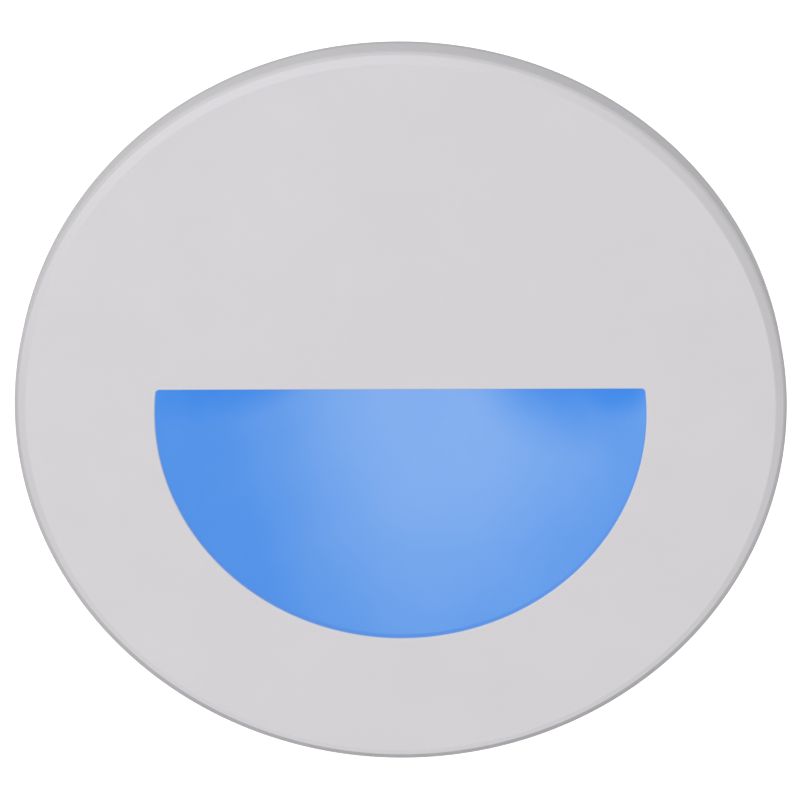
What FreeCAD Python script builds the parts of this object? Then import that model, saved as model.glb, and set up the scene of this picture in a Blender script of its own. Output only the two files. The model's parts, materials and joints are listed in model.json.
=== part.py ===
import FreeCAD, Part
import math
import os
from FreeCAD import Placement, Rotation, Vector

# Round recessed step light. Millimetres, +Z up. The lit face looks along -Y and the housing runs
# back along +Y into the wall. The origin is on the housing's axis in the plane of the wall.

# Front plate
plate_radius = 45.0
plate_face_wall = 1.0
plate_bevel_width = 1.35
plate_bevel_depth = 0.5
plate_edge_round = 0.4
plate_back_round = 0.4
plate_cover = 12.25
aperture_top = 3.6
aperture_corner_round = 0.45
aperture_edge_round = 0.2
plate_screw_inset = 2.6
plate_screw_bite = 1.9

# Layers between the plate's face wall and the wall of the house, from back to front
wall_gasket_thickness = 1.0
wall_gasket_margin = 1.5
can_flange_thickness = 1.5
front_seal_thickness = 0.6
scoop_flange_thickness = 1.1

# Housing can
can_flange_inset = 4.0
collar_length = 8.5
collar_shoulder_step = 0.65
body_relief = 0.85
can_wall = 1.5
bulkhead_gap = 5.5
bulkhead_thickness = 1.6
body_past_bulkhead = 4.9
taper_length = 2.0
rear_radius = 28.0

# Scoop reflector
scoop_step = 0.3
scoop_rim_angle = 63.8
scoop_wall = 1.2
scoop_flange_inset = 2.5
ceiling_step = 0.4
shelf_side_gap = 1.6
shelf_end_margin = 0.4

# Lens over the slot in the scoop's ceiling
window_side_room = 12.0
window_depth = 8.0
lens_overlap = 2.0
lens_thickness = 2.0
lens_gasket_thickness = 0.8
lens_frame_wall = 1.1
lens_frame_cover = 0.8
lens_frame_front_gap = 1.0
lens_frame_tab = 2.0
lens_tab_side_gap = 2.0
lens_screw_offset = 4.5
lens_boss_radius = 1.9
lens_boss_height = 1.6
lens_screw_bite = 2.0

# LED board and heat spreader
led_count = 3
led_pitch = 5.5
led_body = 3.4
led_body_height = 0.7
led_dome_radius = 1.3
led_dome_height = 0.9
led_gap = 0.6
led_board_side = 3.0
led_board_reach = 5.5
led_board_thickness = 1.0
led_screw_inset = 2.4
led_screw_setback = 3.5
thermal_pad_thickness = 0.5
spreader_thickness = 2.5
spreader_corner_gap = 1.1
spreader_screw_inset = 4.0
spreader_boss_height = 2.5
spreader_screw_bite = 3.0

# Rigid link from the LED board to the driver board
link_header_width = 6.0
link_header_depth = 2.8
link_header_height = 2.4
link_header_gap = 0.6
link_pin_pitch = 2.54
link_pin_radius = 0.32
link_pin_bite = 1.6
link_sleeve_wall = 1.2
link_sleeve_lip = 0.6
link_sleeve_hole_height = 1.6
link_socket_length = 5.5

# Driver
driver_board_gap = 0.4
driver_board_thickness = 1.6
driver_front_gap = 0.65
driver_standoff_radius = 2.4
driver_standoff_circle = 16.0
driver_standoff_count = 3
insulating_sheet_thickness = 0.4
terminal_room = 9.8
core_width = 13.0
core_length = 12.0
core_thickness = 4.0
core_leg = 3.2
core_yoke = 2.0
coil_overhang = 1.2
transformer_z = -5.0
capacitor_radius = 3.2
capacitor_length = 14.0
capacitor_groove = 0.4
capacitor_core_gap = 3.3
film_width = 9.0
film_depth = 5.0
film_height = 6.0
film_edge_inset = 11.1
film_z = 6.5
rectifier_size = 6.0
rectifier_height = 2.6
rectifier_core_gap = 3.5
rectifier_z = -2.0
fuse_radius = 1.7
fuse_length = 8.0
fuse_cap_length = 1.4
fuse_x = -6.0
fuse_z = -15.5
varistor_radius = 3.2
varistor_thickness = 2.4
varistor_x = 9.0
varistor_z = -13.0
chip_width = 5.0
chip_depth = 4.0
chip_height = 1.5
chip_x = -8.5
chip_z = -9.0

# Mains terminal block on the back of the driver board
terminal_ways = 3
terminal_pitch = 5.4
terminal_height = 10.0
terminal_depth = 8.0
terminal_z = 9.0
terminal_wire_radius = 1.5
terminal_wire_depth = 7.5
terminal_well_radius = 1.9
terminal_screw_depth = 3.0
terminal_clamp_height = 5.0
terminal_clamp_wall = 0.6

# Earth stud
earth_post_radius = 2.6
earth_tag_thickness = 0.8
earth_tag_width = 5.0
earth_tag_length = 7.0
earth_spade_width = 2.5
earth_cover_gap = 0.7

# Rear cover
cover_thickness = 2.4
cover_edge_bevel = 0.5
cover_seal_thickness = 0.8
cover_screw_inset = 4.4
cover_screw_count = 4
cover_post_radius = 3.0
cover_screw_bite = 7.0
breather_z = 14.0
breather_stem_radius = 2.5
breather_cap_radius = 4.2
breather_cap_height = 2.0
breather_cap_round = 0.5

# Cable gland
gland_z = -9.0
gland_thread_radius = 5.9
gland_bore_radius = 4.2
gland_hex_across = 15.0
gland_hex_thickness = 3.2
gland_washer_thickness = 0.6
gland_barrel_radius = 6.3
gland_barrel_length = 5.0
gland_seal_bore_radius = 3.6
gland_seal_wall = 1.6
gland_seal_length = 8.2
gland_seal_past_barrel = 0.8
gland_nut_wall = 1.5
gland_nut_lip = 2.3
gland_nut_round = 1.8
gland_nut_flat = 0.4
gland_locknut_thickness = 2.6

# Spring clips in a pocket on each side of the can
pocket_depth = 6.4
pocket_side_gap = 0.5
pocket_end_gap = 0.7
clip_pin_radius = 1.0
clip_pin_head_radius = 1.7
clip_pin_head_height = 1.0
clip_ring_radius = 1.9
clip_ring_thickness = 0.6
clip_groove_depth = 0.2
clip_pin_tail = 0.5
bracket_thickness = 1.0
bracket_half_height = 6.6
bracket_end_margin = 0.45
bracket_front_gap = 0.3
ear_front = 2.4
ear_back = 2.4
ear_reach = 2.7
ear_round = 1.6
stop_bar_width = 1.0
stop_bar_depth = 1.1
arm_thickness = 1.0
arm_eye_gap = 0.1
arm_eye_width = 2.6
arm_blade_length = 9.3
arm_toe_length = 5.0
arm_toe_bend = 10.0
arm_toe_width = 7.2
arm_rest_angle = -12.0
arm_slot_reach = 4.8
pad_wall = 0.7
pad_length = 4.6
pad_round = 0.6
spring_wire_radius = 0.25
spring_coil_radius = 1.7
spring_pitch = 0.95
spring_turns = 4
spring_anchor_angle = 40.0
spring_lean = 6.0
spring_arm_leg = 7.0
clip_screw_bite = 3.0
clip_boss_depth = 4.0

# Fasteners
small_screw_radius = 1.0
small_head_radius = 1.5
small_head_height = 1.0
screw_length = 4.0
countersunk_head_radius = 1.9
recess_width = 0.4
recess_margin = 0.5
recess_depth = 0.5
screw_boss_wall = 1.2
hole_spare_depth = 0.5

# Clearances
seat_gap = 0.2
thread_gap = 0.02
hole_gap = 0.15
pin_running_gap = 0.05
side_gap = 0.3
touch_gap = 0.05

BACK = Vector(0, 1, 0)
UP = Vector(0, 0, 1)
CENTRE = Vector(0, 0, 0)

# Radii worked out from the plate inwards
can_flange_radius = plate_radius - can_flange_inset
plate_screw_circle = can_flange_radius - plate_screw_inset
scoop_flange_radius = plate_screw_circle - scoop_flange_inset
collar_radius = plate_radius - plate_cover
shoulder_radius = collar_radius + collar_shoulder_step
body_radius = collar_radius - body_relief
front_bore = body_radius - can_wall
rear_bore = rear_radius - can_wall
cover_screw_circle = rear_radius - cover_screw_inset
scoop_mouth = front_bore - side_gap - scoop_wall
aperture_radius = scoop_mouth - scoop_step
scoop_depth = scoop_mouth * math.tan(math.radians(scoop_rim_angle / 2))
scoop_sphere = scoop_mouth / math.sin(math.radians(scoop_rim_angle))

# Depths along Y, worked out from the layers
plate_back = -wall_gasket_thickness
flange_front = plate_back - can_flange_thickness
seal_front = flange_front - front_seal_thickness
scoop_front = seal_front - scoop_flange_thickness
plate_front = scoop_front - plate_face_wall
scoop_back = scoop_front + scoop_depth + scoop_wall
scoop_centre = Vector(0, scoop_front + scoop_depth - scoop_sphere, 0)
bulkhead_front = scoop_back + bulkhead_gap
bulkhead_back = bulkhead_front + bulkhead_thickness
body_end = bulkhead_back + body_past_bulkhead
taper_end = body_end + taper_length

# Clip pocket, its bracket's screws and the pivot, for the clip on the +X side
pocket_floor = body_radius - pocket_depth
pocket_wall = pocket_floor - can_wall
pocket_half_height = bracket_half_height + clip_ring_thickness + clip_pin_tail + pocket_side_gap
coil_outside = spring_coil_radius + spring_wire_radius
clip_screw_reach = coil_outside + seat_gap + small_head_radius
bracket_front = collar_length + bracket_front_gap
pivot_y = bracket_front + touch_gap + small_head_radius + clip_screw_reach
pivot = Vector(pocket_floor + bracket_thickness + coil_outside + touch_gap, pivot_y, 0)
bracket_back = pivot_y + clip_screw_reach + small_head_radius + bracket_end_margin
arm_eye_radius = coil_outside + touch_gap - arm_eye_gap
pocket_back = pivot_y + arm_blade_length + arm_toe_length + pocket_end_gap

# Widths of the light engine, between the two clip pockets
window_half = pocket_wall - window_side_room
led_board_width = 2 * (window_half + led_board_side)

# Heights of the light engine, stacked up from the scoop's ceiling
ceiling = aperture_top + ceiling_step
shelf_top = ceiling + scoop_wall
lens_bottom = shelf_top + lens_gasket_thickness
lens_top = lens_bottom + lens_thickness
led_board_bottom = lens_top + led_gap + led_dome_height + led_body_height
led_board_top = led_board_bottom + led_board_thickness
spreader_bottom = led_board_top + thermal_pad_thickness
spreader_top = spreader_bottom + spreader_thickness
leg_top = math.sqrt((front_bore - spreader_corner_gap) ** 2 - (led_board_width / 2) ** 2)
spreader_screw_z = (spreader_top + leg_top) / 2

# Places of the light engine across and along the can
frame_reach = window_depth / 2 + lens_overlap + lens_frame_wall
window_y = seal_front + lens_frame_front_gap + frame_reach
lens_screw_x = pocket_wall - lens_tab_side_gap - seat_gap - small_head_radius
lens_screw_y = window_y + lens_screw_offset
shelf_back = lens_screw_y + lens_boss_radius + shelf_end_margin
led_board_front = window_y - led_board_reach
led_board_back = window_y + frame_reach + link_header_gap + link_header_depth
led_screw_y = led_board_back - led_screw_setback
link_z = led_board_bottom - link_header_height / 2

# Driver, terminals and rear cover
coil_depth = core_thickness + 2 * coil_overhang
tallest_component = max(coil_depth, 2 * capacitor_radius + touch_gap, film_height)
driver_board_radius = min(pocket_wall, rear_bore) - driver_board_gap
driver_front = bulkhead_back + insulating_sheet_thickness + driver_front_gap + tallest_component
driver_back = driver_front + driver_board_thickness
rear_rim = driver_back + terminal_room
cover_front = rear_rim + cover_seal_thickness
cover_back = cover_front + cover_thickness
capacitor_x = core_width / 2 + capacitor_core_gap + capacitor_radius
rectifier_x = -(core_width + rectifier_size) / 2 - rectifier_core_gap
film_x = film_edge_inset - driver_board_radius
earth_post_z = gland_z - (gland_hex_across + earth_tag_length) / 2 - side_gap
earth_seat = cover_front - earth_cover_gap - earth_tag_length


def toward(angle):
    """Unit vector in the level plane, turned from +X towards +Y."""
    return Vector(math.cos(math.radians(angle)), math.sin(math.radians(angle)), 0)


def disc(radius, y_front, y_back, x=0.0, z=0.0):
    return Part.makeCylinder(radius, y_back - y_front, Vector(x, y_front, z), BACK)


def ring(outer, inner, y_front, y_back, x=0.0, z=0.0):
    return disc(outer, y_front, y_back, x, z).cut(disc(inner, y_front, y_back, x, z))


def block(x_low, x_high, y_low, y_high, z_low, z_high):
    size = Vector(x_high - x_low, y_high - y_low, z_high - z_low)
    return Part.makeBox(size.x, size.y, size.z, Vector(x_low, y_low, z_low))


def turned(outline):
    """Solid of revolution about the Y axis from (radius, y) points."""
    points = [Vector(r, y, 0) for r, y in outline + outline[:1]]
    return Part.Face(Part.makePolygon(points)).revolve(CENTRE, BACK, 360)


def on_circle(radius, count, first_angle):
    """Points (x, z) spread evenly round the Y axis."""
    angles = [math.radians(first_angle + 360 * i / count) for i in range(count)]
    return [(radius * math.cos(a), radius * math.sin(a)) for a in angles]


def joined(shapes):
    whole = shapes[0].fuse(shapes[1:]) if len(shapes) > 1 else shapes[0]
    return whole.removeSplitter()


def mirrored(shape):
    return shape.mirror(CENTRE, Vector(1, 0, 0))


def circles_at(shape, radius, y):
    """Edges of the shape that are full circles of this radius at this depth."""
    return [
        e
        for e in shape.Edges
        if isinstance(e.Curve, Part.Circle)
        and abs(e.Curve.Radius - radius) < 1e-4
        and abs(e.Curve.Center.y - y) < 1e-4
    ]


def level_edges_at(shape, z):
    """Edges that run along the depth axis at this height."""
    return [
        e
        for e in shape.Edges
        if isinstance(e.Curve, Part.Line)
        and abs(e.tangentAt(e.FirstParameter).y) > 0.999
        and abs(e.Vertexes[0].Z - z) < 1e-4
    ]


def half_moon(radius, top, corner, y_front, y_back):
    """The part of a disc below a level straight edge, with its two corners rounded."""
    moon = disc(radius, y_front, y_back).common(
        block(-radius, radius, y_front, y_back, -radius, top)
    )
    return moon.makeFillet(corner, level_edges_at(moon, top))


def hexagon(across, y_front, y_back, x, z):
    corners = on_circle(across / math.sqrt(3), 6, 0)
    points = [Vector(x + a, y_front, z + b) for a, b in corners + corners[:1]]
    return Part.Face(Part.makePolygon(points)).extrude(BACK * (y_back - y_front))


def cross_recess(head_radius, top):
    """Cross for a screwdriver, sunk into a head whose top is at this height."""
    reach = head_radius - recess_margin
    slots = []
    for long_x, long_y in ((reach, recess_width / 2), (recess_width / 2, reach)):
        corner = Vector(-long_x, -long_y, top - recess_depth)
        slots.append(Part.makeBox(2 * long_x, 2 * long_y, recess_depth, corner))
    return joined(slots)


def screw(seat, outward, length):
    """Pan head screw with a cross recess: its head stands outward from the seat point."""
    head = Part.makeCylinder(small_head_radius, small_head_height)
    shank = Part.makeCylinder(small_screw_radius, length, CENTRE, -UP)
    body = joined([head, shank]).cut(cross_recess(small_head_radius, small_head_height))
    body.Placement = Placement(seat, Rotation(UP, outward))
    return body


def screw_hole(seat, inward, depth):
    """Threaded hole for a screw, from its seat inward."""
    return Part.makeCylinder(small_screw_radius + thread_gap, depth, seat, inward)


# Front plate and the layers behind it


def plate_screw_places():
    return on_circle(plate_screw_circle, 4, 45)


def make_faceplate():
    plate = turned(
        [
            (0, plate_front),
            (plate_radius - plate_bevel_width, plate_front),
            (plate_radius, plate_front + plate_bevel_depth),
            (plate_radius, plate_back),
            (0, plate_back),
        ]
    )
    rim = circles_at(plate, plate_radius - plate_bevel_width, plate_front)
    rim += circles_at(plate, plate_radius, plate_front + plate_bevel_depth)
    plate = plate.makeFillet(plate_edge_round, rim)
    plate = plate.makeFillet(plate_back_round, circles_at(plate, plate_radius, plate_back))
    plate = plate.cut(
        half_moon(aperture_radius, aperture_top, aperture_corner_round, plate_front, plate_back)
    )
    lip = [
        e
        for e in plate.Edges
        if e.BoundBox.YMax < plate_front + 1e-4 and e.BoundBox.XMax < aperture_radius + 1e-4
    ]
    plate = plate.makeFillet(aperture_edge_round, lip)
    plate = plate.cut(disc(scoop_flange_radius + seat_gap, scoop_front, plate_back))
    plate = plate.cut(disc(can_flange_radius + seat_gap, flange_front, plate_back))
    for x, z in plate_screw_places():
        seat = Vector(x, flange_front, z)
        plate = plate.cut(screw_hole(seat, -BACK, plate_screw_bite + thread_gap))
    return plate


def countersink(x, z, extra):
    """Cone of a countersunk head, flush with the back of the can's flange."""
    head = countersunk_head_radius + extra
    neck = small_screw_radius + extra
    return Part.makeCone(head, neck, head - neck, Vector(x, plate_back, z), -BACK)


def make_faceplate_screws():
    screws = []
    for x, z in plate_screw_places():
        shank = disc(small_screw_radius, flange_front - plate_screw_bite, plate_back, x, z)
        recess = cross_recess(countersunk_head_radius, 0)
        recess.Placement = Placement(Vector(x, plate_back, z), Rotation(UP, BACK))
        screws.append(joined([shank, countersink(x, z, 0)]).cut(recess))
    return Part.makeCompound(screws)


def make_wall_gasket():
    inner = shoulder_radius + seat_gap
    return ring(plate_radius - wall_gasket_margin, inner, plate_back, 0)


def make_front_seal():
    return ring(scoop_flange_radius, front_bore + side_gap, seal_front, flange_front)


# Housing can


def cover_screw_places():
    return on_circle(cover_screw_circle, cover_screw_count, 45)


def standoff_places():
    return on_circle(driver_standoff_circle, driver_standoff_count, 90)


def spreader_screw_places():
    reach = led_board_width / 2 - spreader_screw_inset
    return [(side * reach, spreader_screw_z) for side in (-1, 1)]


def clip_screw_depths():
    """Depths of the two screws of each clip bracket, in front of its pivot and behind it."""
    return [pivot_y - clip_screw_reach, pivot_y + clip_screw_reach]


def clip_pocket(grow):
    """Space for one spring clip, or with grow the walls round it."""
    return block(
        pocket_floor - grow,
        collar_radius + can_wall,
        collar_length - grow,
        pocket_back + grow,
        -pocket_half_height - grow,
        pocket_half_height + grow,
    )


def can_outside():
    shell = turned(
        [
            (0, flange_front),
            (can_flange_radius, flange_front),
            (can_flange_radius, plate_back),
            (shoulder_radius, plate_back),
            (shoulder_radius, 0),
            (collar_radius, 0),
            (collar_radius, collar_length),
            (body_radius, collar_length),
            (body_radius, body_end),
            (rear_radius, taper_end),
            (rear_radius, rear_rim),
            (0, rear_rim),
        ]
    )
    pocket = clip_pocket(0)
    return shell.cut(pocket).cut(mirrored(pocket))


def can_inside():
    front = disc(front_bore, flange_front, bulkhead_front)
    rear = turned(
        [
            (0, bulkhead_back),
            (front_bore, bulkhead_back),
            (front_bore, body_end - can_wall / 2),
            (rear_bore, taper_end - can_wall / 2),
            (rear_bore, rear_rim),
            (0, rear_rim),
        ]
    )
    walls = clip_pocket(can_wall)
    return [s.cut(walls).cut(mirrored(walls)) for s in (front, rear)]


def can_bosses():
    bosses = [
        disc(cover_post_radius, bulkhead_front, rear_rim, x, z) for x, z in cover_screw_places()
    ]
    bosses += [
        disc(driver_standoff_radius, bulkhead_front, driver_front, x, z)
        for x, z in standoff_places()
    ]
    bosses += [
        disc(
            small_screw_radius + screw_boss_wall,
            bulkhead_front,
            bulkhead_back + spreader_boss_height,
            x,
            z,
        )
        for x, z in spreader_screw_places()
    ]
    bosses.append(disc(earth_post_radius, bulkhead_front, earth_seat, 0, earth_post_z))
    for y in clip_screw_depths():
        radius = small_screw_radius + screw_boss_wall
        seat = Vector(pocket_floor, y, 0)
        boss = Part.makeCylinder(radius, clip_boss_depth, seat, Vector(-1, 0, 0))
        bosses += [boss, mirrored(boss)]
    return bosses


def can_holes():
    holes = [
        screw_hole(Vector(x, rear_rim, z), -BACK, cover_screw_bite + hole_spare_depth)
        for x, z in cover_screw_places()
    ]
    holes += [
        screw_hole(Vector(x, driver_front, z), -BACK, screw_length) for x, z in standoff_places()
    ]
    holes += [
        screw_hole(Vector(x, bulkhead_front, z), BACK, spreader_screw_bite + hole_spare_depth)
        for x, z in spreader_screw_places()
    ]
    holes.append(screw_hole(Vector(0, earth_seat, earth_post_z), -BACK, screw_length))
    for y in clip_screw_depths():
        seat = Vector(pocket_floor, y, 0)
        hole = screw_hole(seat, Vector(-1, 0, 0), clip_screw_bite + hole_spare_depth)
        holes += [hole, mirrored(hole)]
    for x, z in plate_screw_places():
        holes.append(countersink(x, z, thread_gap))
        holes.append(disc(small_screw_radius + hole_gap, flange_front, plate_back, x, z))
    return holes


def link_slot(grow):
    """Section of the link's sleeve where it passes the bulkhead."""
    half_width = link_header_width / 2 - link_sleeve_lip + grow
    half_height = link_sleeve_hole_height / 2 + link_sleeve_wall + grow
    return block(
        -half_width, half_width, bulkhead_front, bulkhead_back, link_z - half_height, link_z + half_height
    )


def make_housing_can():
    can = can_outside()
    for space in can_inside():
        can = can.cut(space)
    can = joined([can] + can_bosses())
    can = can.cut(can_holes())
    return can.cut(link_slot(touch_gap))


# Scoop reflector and its lens


def ball(radius, y_low, z_high):
    """Sphere of the scoop, kept behind a depth and below a height."""
    whole = Part.makeSphere(radius, scoop_centre, BACK)
    reach = 2 * radius
    return whole.common(block(-reach, reach, y_low, y_low + reach, -reach, z_high))


def lens_screw_places():
    return [(side * lens_screw_x, lens_screw_y) for side in (-1, 1)]


def window_outline(margin, z_low, z_high):
    half_width = window_half + margin
    half_depth = window_depth / 2 + margin
    outline = block(
        -half_width, half_width, window_y - half_depth, window_y + half_depth, z_low, z_high
    )
    return outline


def make_scoop_reflector():
    outer = ball(scoop_sphere + scoop_wall, scoop_front, shelf_top)
    half_width = pocket_wall - shelf_side_gap
    shelf = block(-half_width, half_width, scoop_front, shelf_back, ceiling, shelf_top)
    solids = [disc(scoop_flange_radius, scoop_front, seal_front), outer, shelf]
    for x, y in lens_screw_places():
        solids.append(
            Part.makeCylinder(
                lens_boss_radius, lens_boss_height, Vector(x, y, ceiling - lens_boss_height)
            )
        )
    scoop = joined(solids)
    scoop = scoop.cut(ball(scoop_sphere, scoop_front, ceiling))
    scoop = scoop.cut(window_outline(0, ceiling, shelf_top))
    for x, y in lens_screw_places():
        scoop = scoop.cut(screw_hole(Vector(x, y, shelf_top), -UP, lens_screw_bite + hole_spare_depth))
    return scoop


def make_lens_gasket():
    outside = window_outline(lens_overlap, shelf_top, lens_bottom)
    return outside.cut(window_outline(seat_gap, shelf_top, lens_bottom))


def make_lens_window():
    return window_outline(lens_overlap, lens_bottom, lens_top)


def make_lens_frame():
    cover_top = lens_top + lens_frame_cover
    frame = window_outline(lens_overlap + lens_frame_wall, shelf_top, cover_top)
    frame = frame.cut(window_outline(lens_overlap + seat_gap, shelf_top, lens_top))
    frame = frame.cut(window_outline(seat_gap, lens_top, cover_top))
    edge = window_half + lens_overlap + lens_frame_wall
    tabs = []
    for x, y in lens_screw_places():
        reach = small_head_radius + seat_gap
        low, high = sorted((math.copysign(edge, x), x))
        arm = block(low, high, y - reach, y + reach, shelf_top, shelf_top + lens_frame_tab)
        end = Part.makeCylinder(reach, lens_frame_tab, Vector(x, y, shelf_top))
        tabs += [arm, end]
    frame = joined([frame] + tabs)
    for x, y in lens_screw_places():
        hole = Part.makeCylinder(small_screw_radius + hole_gap, lens_frame_tab, Vector(x, y, shelf_top))
        frame = frame.cut(hole)
    return frame


def make_lens_frame_screws():
    top = shelf_top + lens_frame_tab
    length = lens_frame_tab + lens_screw_bite
    return Part.makeCompound([screw(Vector(x, y, top), UP, length) for x, y in lens_screw_places()])


# LED board, heat spreader and the link to the driver


def led_board_plate(z_low, z_high, y_back):
    half = led_board_width / 2
    return block(-half, half, led_board_front, y_back, z_low, z_high)


def led_screw_places():
    reach = led_board_width / 2 - led_screw_inset
    return [Vector(side * reach, led_screw_y, led_board_bottom) for side in (-1, 1)]


def make_led_board():
    board = led_board_plate(led_board_bottom, led_board_top, led_board_back)
    for seat in led_screw_places():
        hole = Part.makeCylinder(small_screw_radius + hole_gap, led_board_thickness, seat)
        board = board.cut(hole)
    return board


def make_led_packages():
    packages = []
    for i in range(led_count):
        x = (i - (led_count - 1) / 2) * led_pitch
        half = led_body / 2
        body_bottom = led_board_bottom - led_body_height
        body = block(x - half, x + half, window_y - half, window_y + half, body_bottom, led_board_bottom)
        ball_radius = (led_dome_radius**2 + led_dome_height**2) / (2 * led_dome_height)
        ball_z = body_bottom - led_dome_height + ball_radius
        dome = Part.makeSphere(ball_radius, Vector(x, window_y, ball_z))
        below = block(x - half, x + half, window_y - half, window_y + half, lens_top, body_bottom)
        packages.append(joined([body, dome.common(below)]))
    return Part.makeCompound(packages)


def make_led_board_screws():
    length = led_board_thickness + thermal_pad_thickness + spreader_thickness - touch_gap
    return Part.makeCompound([screw(seat, -UP, length) for seat in led_screw_places()])


def make_thermal_pad():
    pad = led_board_plate(led_board_top, spreader_bottom, led_board_back)
    for seat in led_screw_places():
        pad = pad.cut(
            Part.makeCylinder(small_screw_radius + hole_gap, spreader_bottom - seat.z, seat)
        )
    return pad


def make_led_heat_spreader():
    flat = led_board_plate(spreader_bottom, spreader_top, bulkhead_front)
    half = led_board_width / 2
    leg_front = bulkhead_front - spreader_thickness
    leg = block(-half, half, leg_front, bulkhead_front, spreader_bottom, leg_top)
    spreader = joined([flat, leg])
    for seat in led_screw_places():
        spreader = spreader.cut(screw_hole(seat, UP, spreader_top - seat.z))
    for x, z in spreader_screw_places():
        spreader = spreader.cut(disc(small_screw_radius + hole_gap, leg_front, bulkhead_front, x, z))
    return spreader


def make_spreader_screws():
    seat_y = bulkhead_front - spreader_thickness
    length = spreader_thickness + spreader_screw_bite
    return Part.makeCompound(
        [screw(Vector(x, seat_y, z), -BACK, length) for x, z in spreader_screw_places()]
    )


def link_pin_places():
    return [side * link_pin_pitch / 2 for side in (-1, 1)]


def make_link_header():
    half = link_header_width / 2
    front = led_board_back - link_header_depth
    header = block(
        -half, half, front, led_board_back, led_board_bottom - link_header_height, led_board_bottom
    )
    for x in link_pin_places():
        header = header.cut(
            disc(link_pin_radius + thread_gap, led_board_back - link_pin_bite, led_board_back, x, link_z)
        )
    return header


def make_link_pins():
    start = led_board_back - link_pin_bite
    end = driver_front - link_pin_bite
    return Part.makeCompound([disc(link_pin_radius, start, end, x, link_z) for x in link_pin_places()])


def make_link_sleeve():
    half_width = link_header_width / 2
    half_height = link_sleeve_hole_height / 2 + link_sleeve_wall
    flange_back = bulkhead_back + link_sleeve_wall
    flange = block(
        -half_width - link_sleeve_lip,
        half_width + link_sleeve_lip,
        bulkhead_back,
        flange_back,
        link_z - half_height - link_sleeve_lip,
        link_z + half_height + link_sleeve_lip,
    )
    sleeve = joined([link_slot(0), flange])
    for x in link_pin_places():
        radius = link_sleeve_hole_height / 2
        sleeve = sleeve.cut(disc(radius, bulkhead_front, flange_back, x, link_z))
    return sleeve


def make_link_socket():
    half = link_header_width / 2
    front = driver_front - link_socket_length
    low = link_z - link_header_height / 2
    socket = block(-half, half, front, driver_front, low, low + link_header_height)
    for x in link_pin_places():
        end = driver_front - link_pin_bite + touch_gap
        socket = socket.cut(disc(link_pin_radius + thread_gap, front, end, x, link_z))
    return socket


# Driver


def driver_outline(y_front, y_back):
    """Round board shape with room for the posts that pass it."""
    board = disc(driver_board_radius, y_front, y_back)
    for x, z in cover_screw_places():
        board = board.cut(disc(cover_post_radius + side_gap, y_front, y_back, x, z))
    post = disc(earth_post_radius + side_gap, y_front, y_back, 0, earth_post_z)
    return board.cut(post)


def make_insulating_sheet():
    back = bulkhead_back + insulating_sheet_thickness
    sheet = driver_outline(bulkhead_back, back)
    for x, z in standoff_places():
        sheet = sheet.cut(disc(driver_standoff_radius + side_gap, bulkhead_back, back, x, z))
    for x, z in spreader_screw_places():
        radius = small_screw_radius + screw_boss_wall + side_gap
        sheet = sheet.cut(disc(radius, bulkhead_back, back, x, z))
    half_width = link_header_width / 2 + link_sleeve_lip + side_gap
    half_height = link_sleeve_hole_height / 2 + link_sleeve_wall + link_sleeve_lip + side_gap
    window = block(-half_width, half_width, bulkhead_back, back, link_z - half_height, link_z + half_height)
    return sheet.cut(window)


def make_driver_board():
    board = driver_outline(driver_front, driver_back)
    for x, z in standoff_places():
        board = board.cut(disc(small_screw_radius + hole_gap, driver_front, driver_back, x, z))
    return board


def make_driver_screws():
    length = driver_board_thickness + screw_length - hole_spare_depth
    return Part.makeCompound(
        [screw(Vector(x, driver_back, z), BACK, length) for x, z in standoff_places()]
    )


def transformer_y():
    """Depth of the transformer's middle, with its coil seated on the board."""
    return driver_front - coil_depth / 2


def core_block(half_width, half_length, half_depth, x=0.0):
    middle = transformer_y()
    return block(
        x - half_width,
        x + half_width,
        middle - half_depth,
        middle + half_depth,
        transformer_z - half_length,
        transformer_z + half_length,
    )


def make_transformer_core():
    half_depth = core_thickness / 2
    core = core_block(core_width / 2, core_length / 2, half_depth)
    gap_half = (core_width / 2 - core_yoke - core_leg / 2) / 2
    gap_x = core_leg / 2 + gap_half
    for x in (-gap_x, gap_x):
        core = core.cut(core_block(gap_half, core_length / 2 - core_yoke, half_depth, x))
    return core


def make_transformer_coil():
    reach = core_width / 2 - core_yoke - seat_gap
    coil = core_block(reach, core_length / 2 - core_yoke - seat_gap, coil_depth / 2)
    tunnel = core_block(core_leg / 2 + touch_gap, core_length / 2, core_thickness / 2 + touch_gap)
    return coil.cut(tunnel)


def make_bulk_capacitor():
    y = driver_front - capacitor_radius - touch_gap
    start = Vector(capacitor_x, y, link_z - capacitor_length)
    can = Part.makeCylinder(capacitor_radius, capacitor_length, start)
    low = start + UP * capacitor_radius
    groove = Part.makeCylinder(capacitor_radius, capacitor_groove, low)
    core = Part.makeCylinder(capacitor_radius - capacitor_groove, capacitor_groove, low)
    return can.cut(groove.cut(core))


def board_block(x, z, width, height, stand):
    """Component on the front face of the driver board."""
    return block(
        x - width / 2, x + width / 2, driver_front - stand, driver_front, z - height / 2, z + height / 2
    )


def make_film_capacitor():
    return board_block(film_x, film_z, film_width, film_depth, film_height)


def make_bridge_rectifier():
    return board_block(rectifier_x, rectifier_z, rectifier_size, rectifier_size, rectifier_height)


def make_fuse():
    across = Vector(1, 0, 0)
    y = driver_front - fuse_radius - touch_gap
    start = Vector(fuse_x - fuse_length / 2, y, fuse_z)
    tube = Part.makeCylinder(fuse_radius - seat_gap, fuse_length, start, across)
    cap = Part.makeCylinder(fuse_radius, fuse_cap_length, start, across)
    far_cap = cap.translated(across * (fuse_length - fuse_cap_length))
    return joined([tube, cap, far_cap])


def make_varistor():
    y = driver_front - varistor_radius - touch_gap
    start = Vector(varistor_x - varistor_thickness / 2, y, varistor_z)
    return Part.makeCylinder(varistor_radius, varistor_thickness, start, Vector(1, 0, 0))


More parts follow.
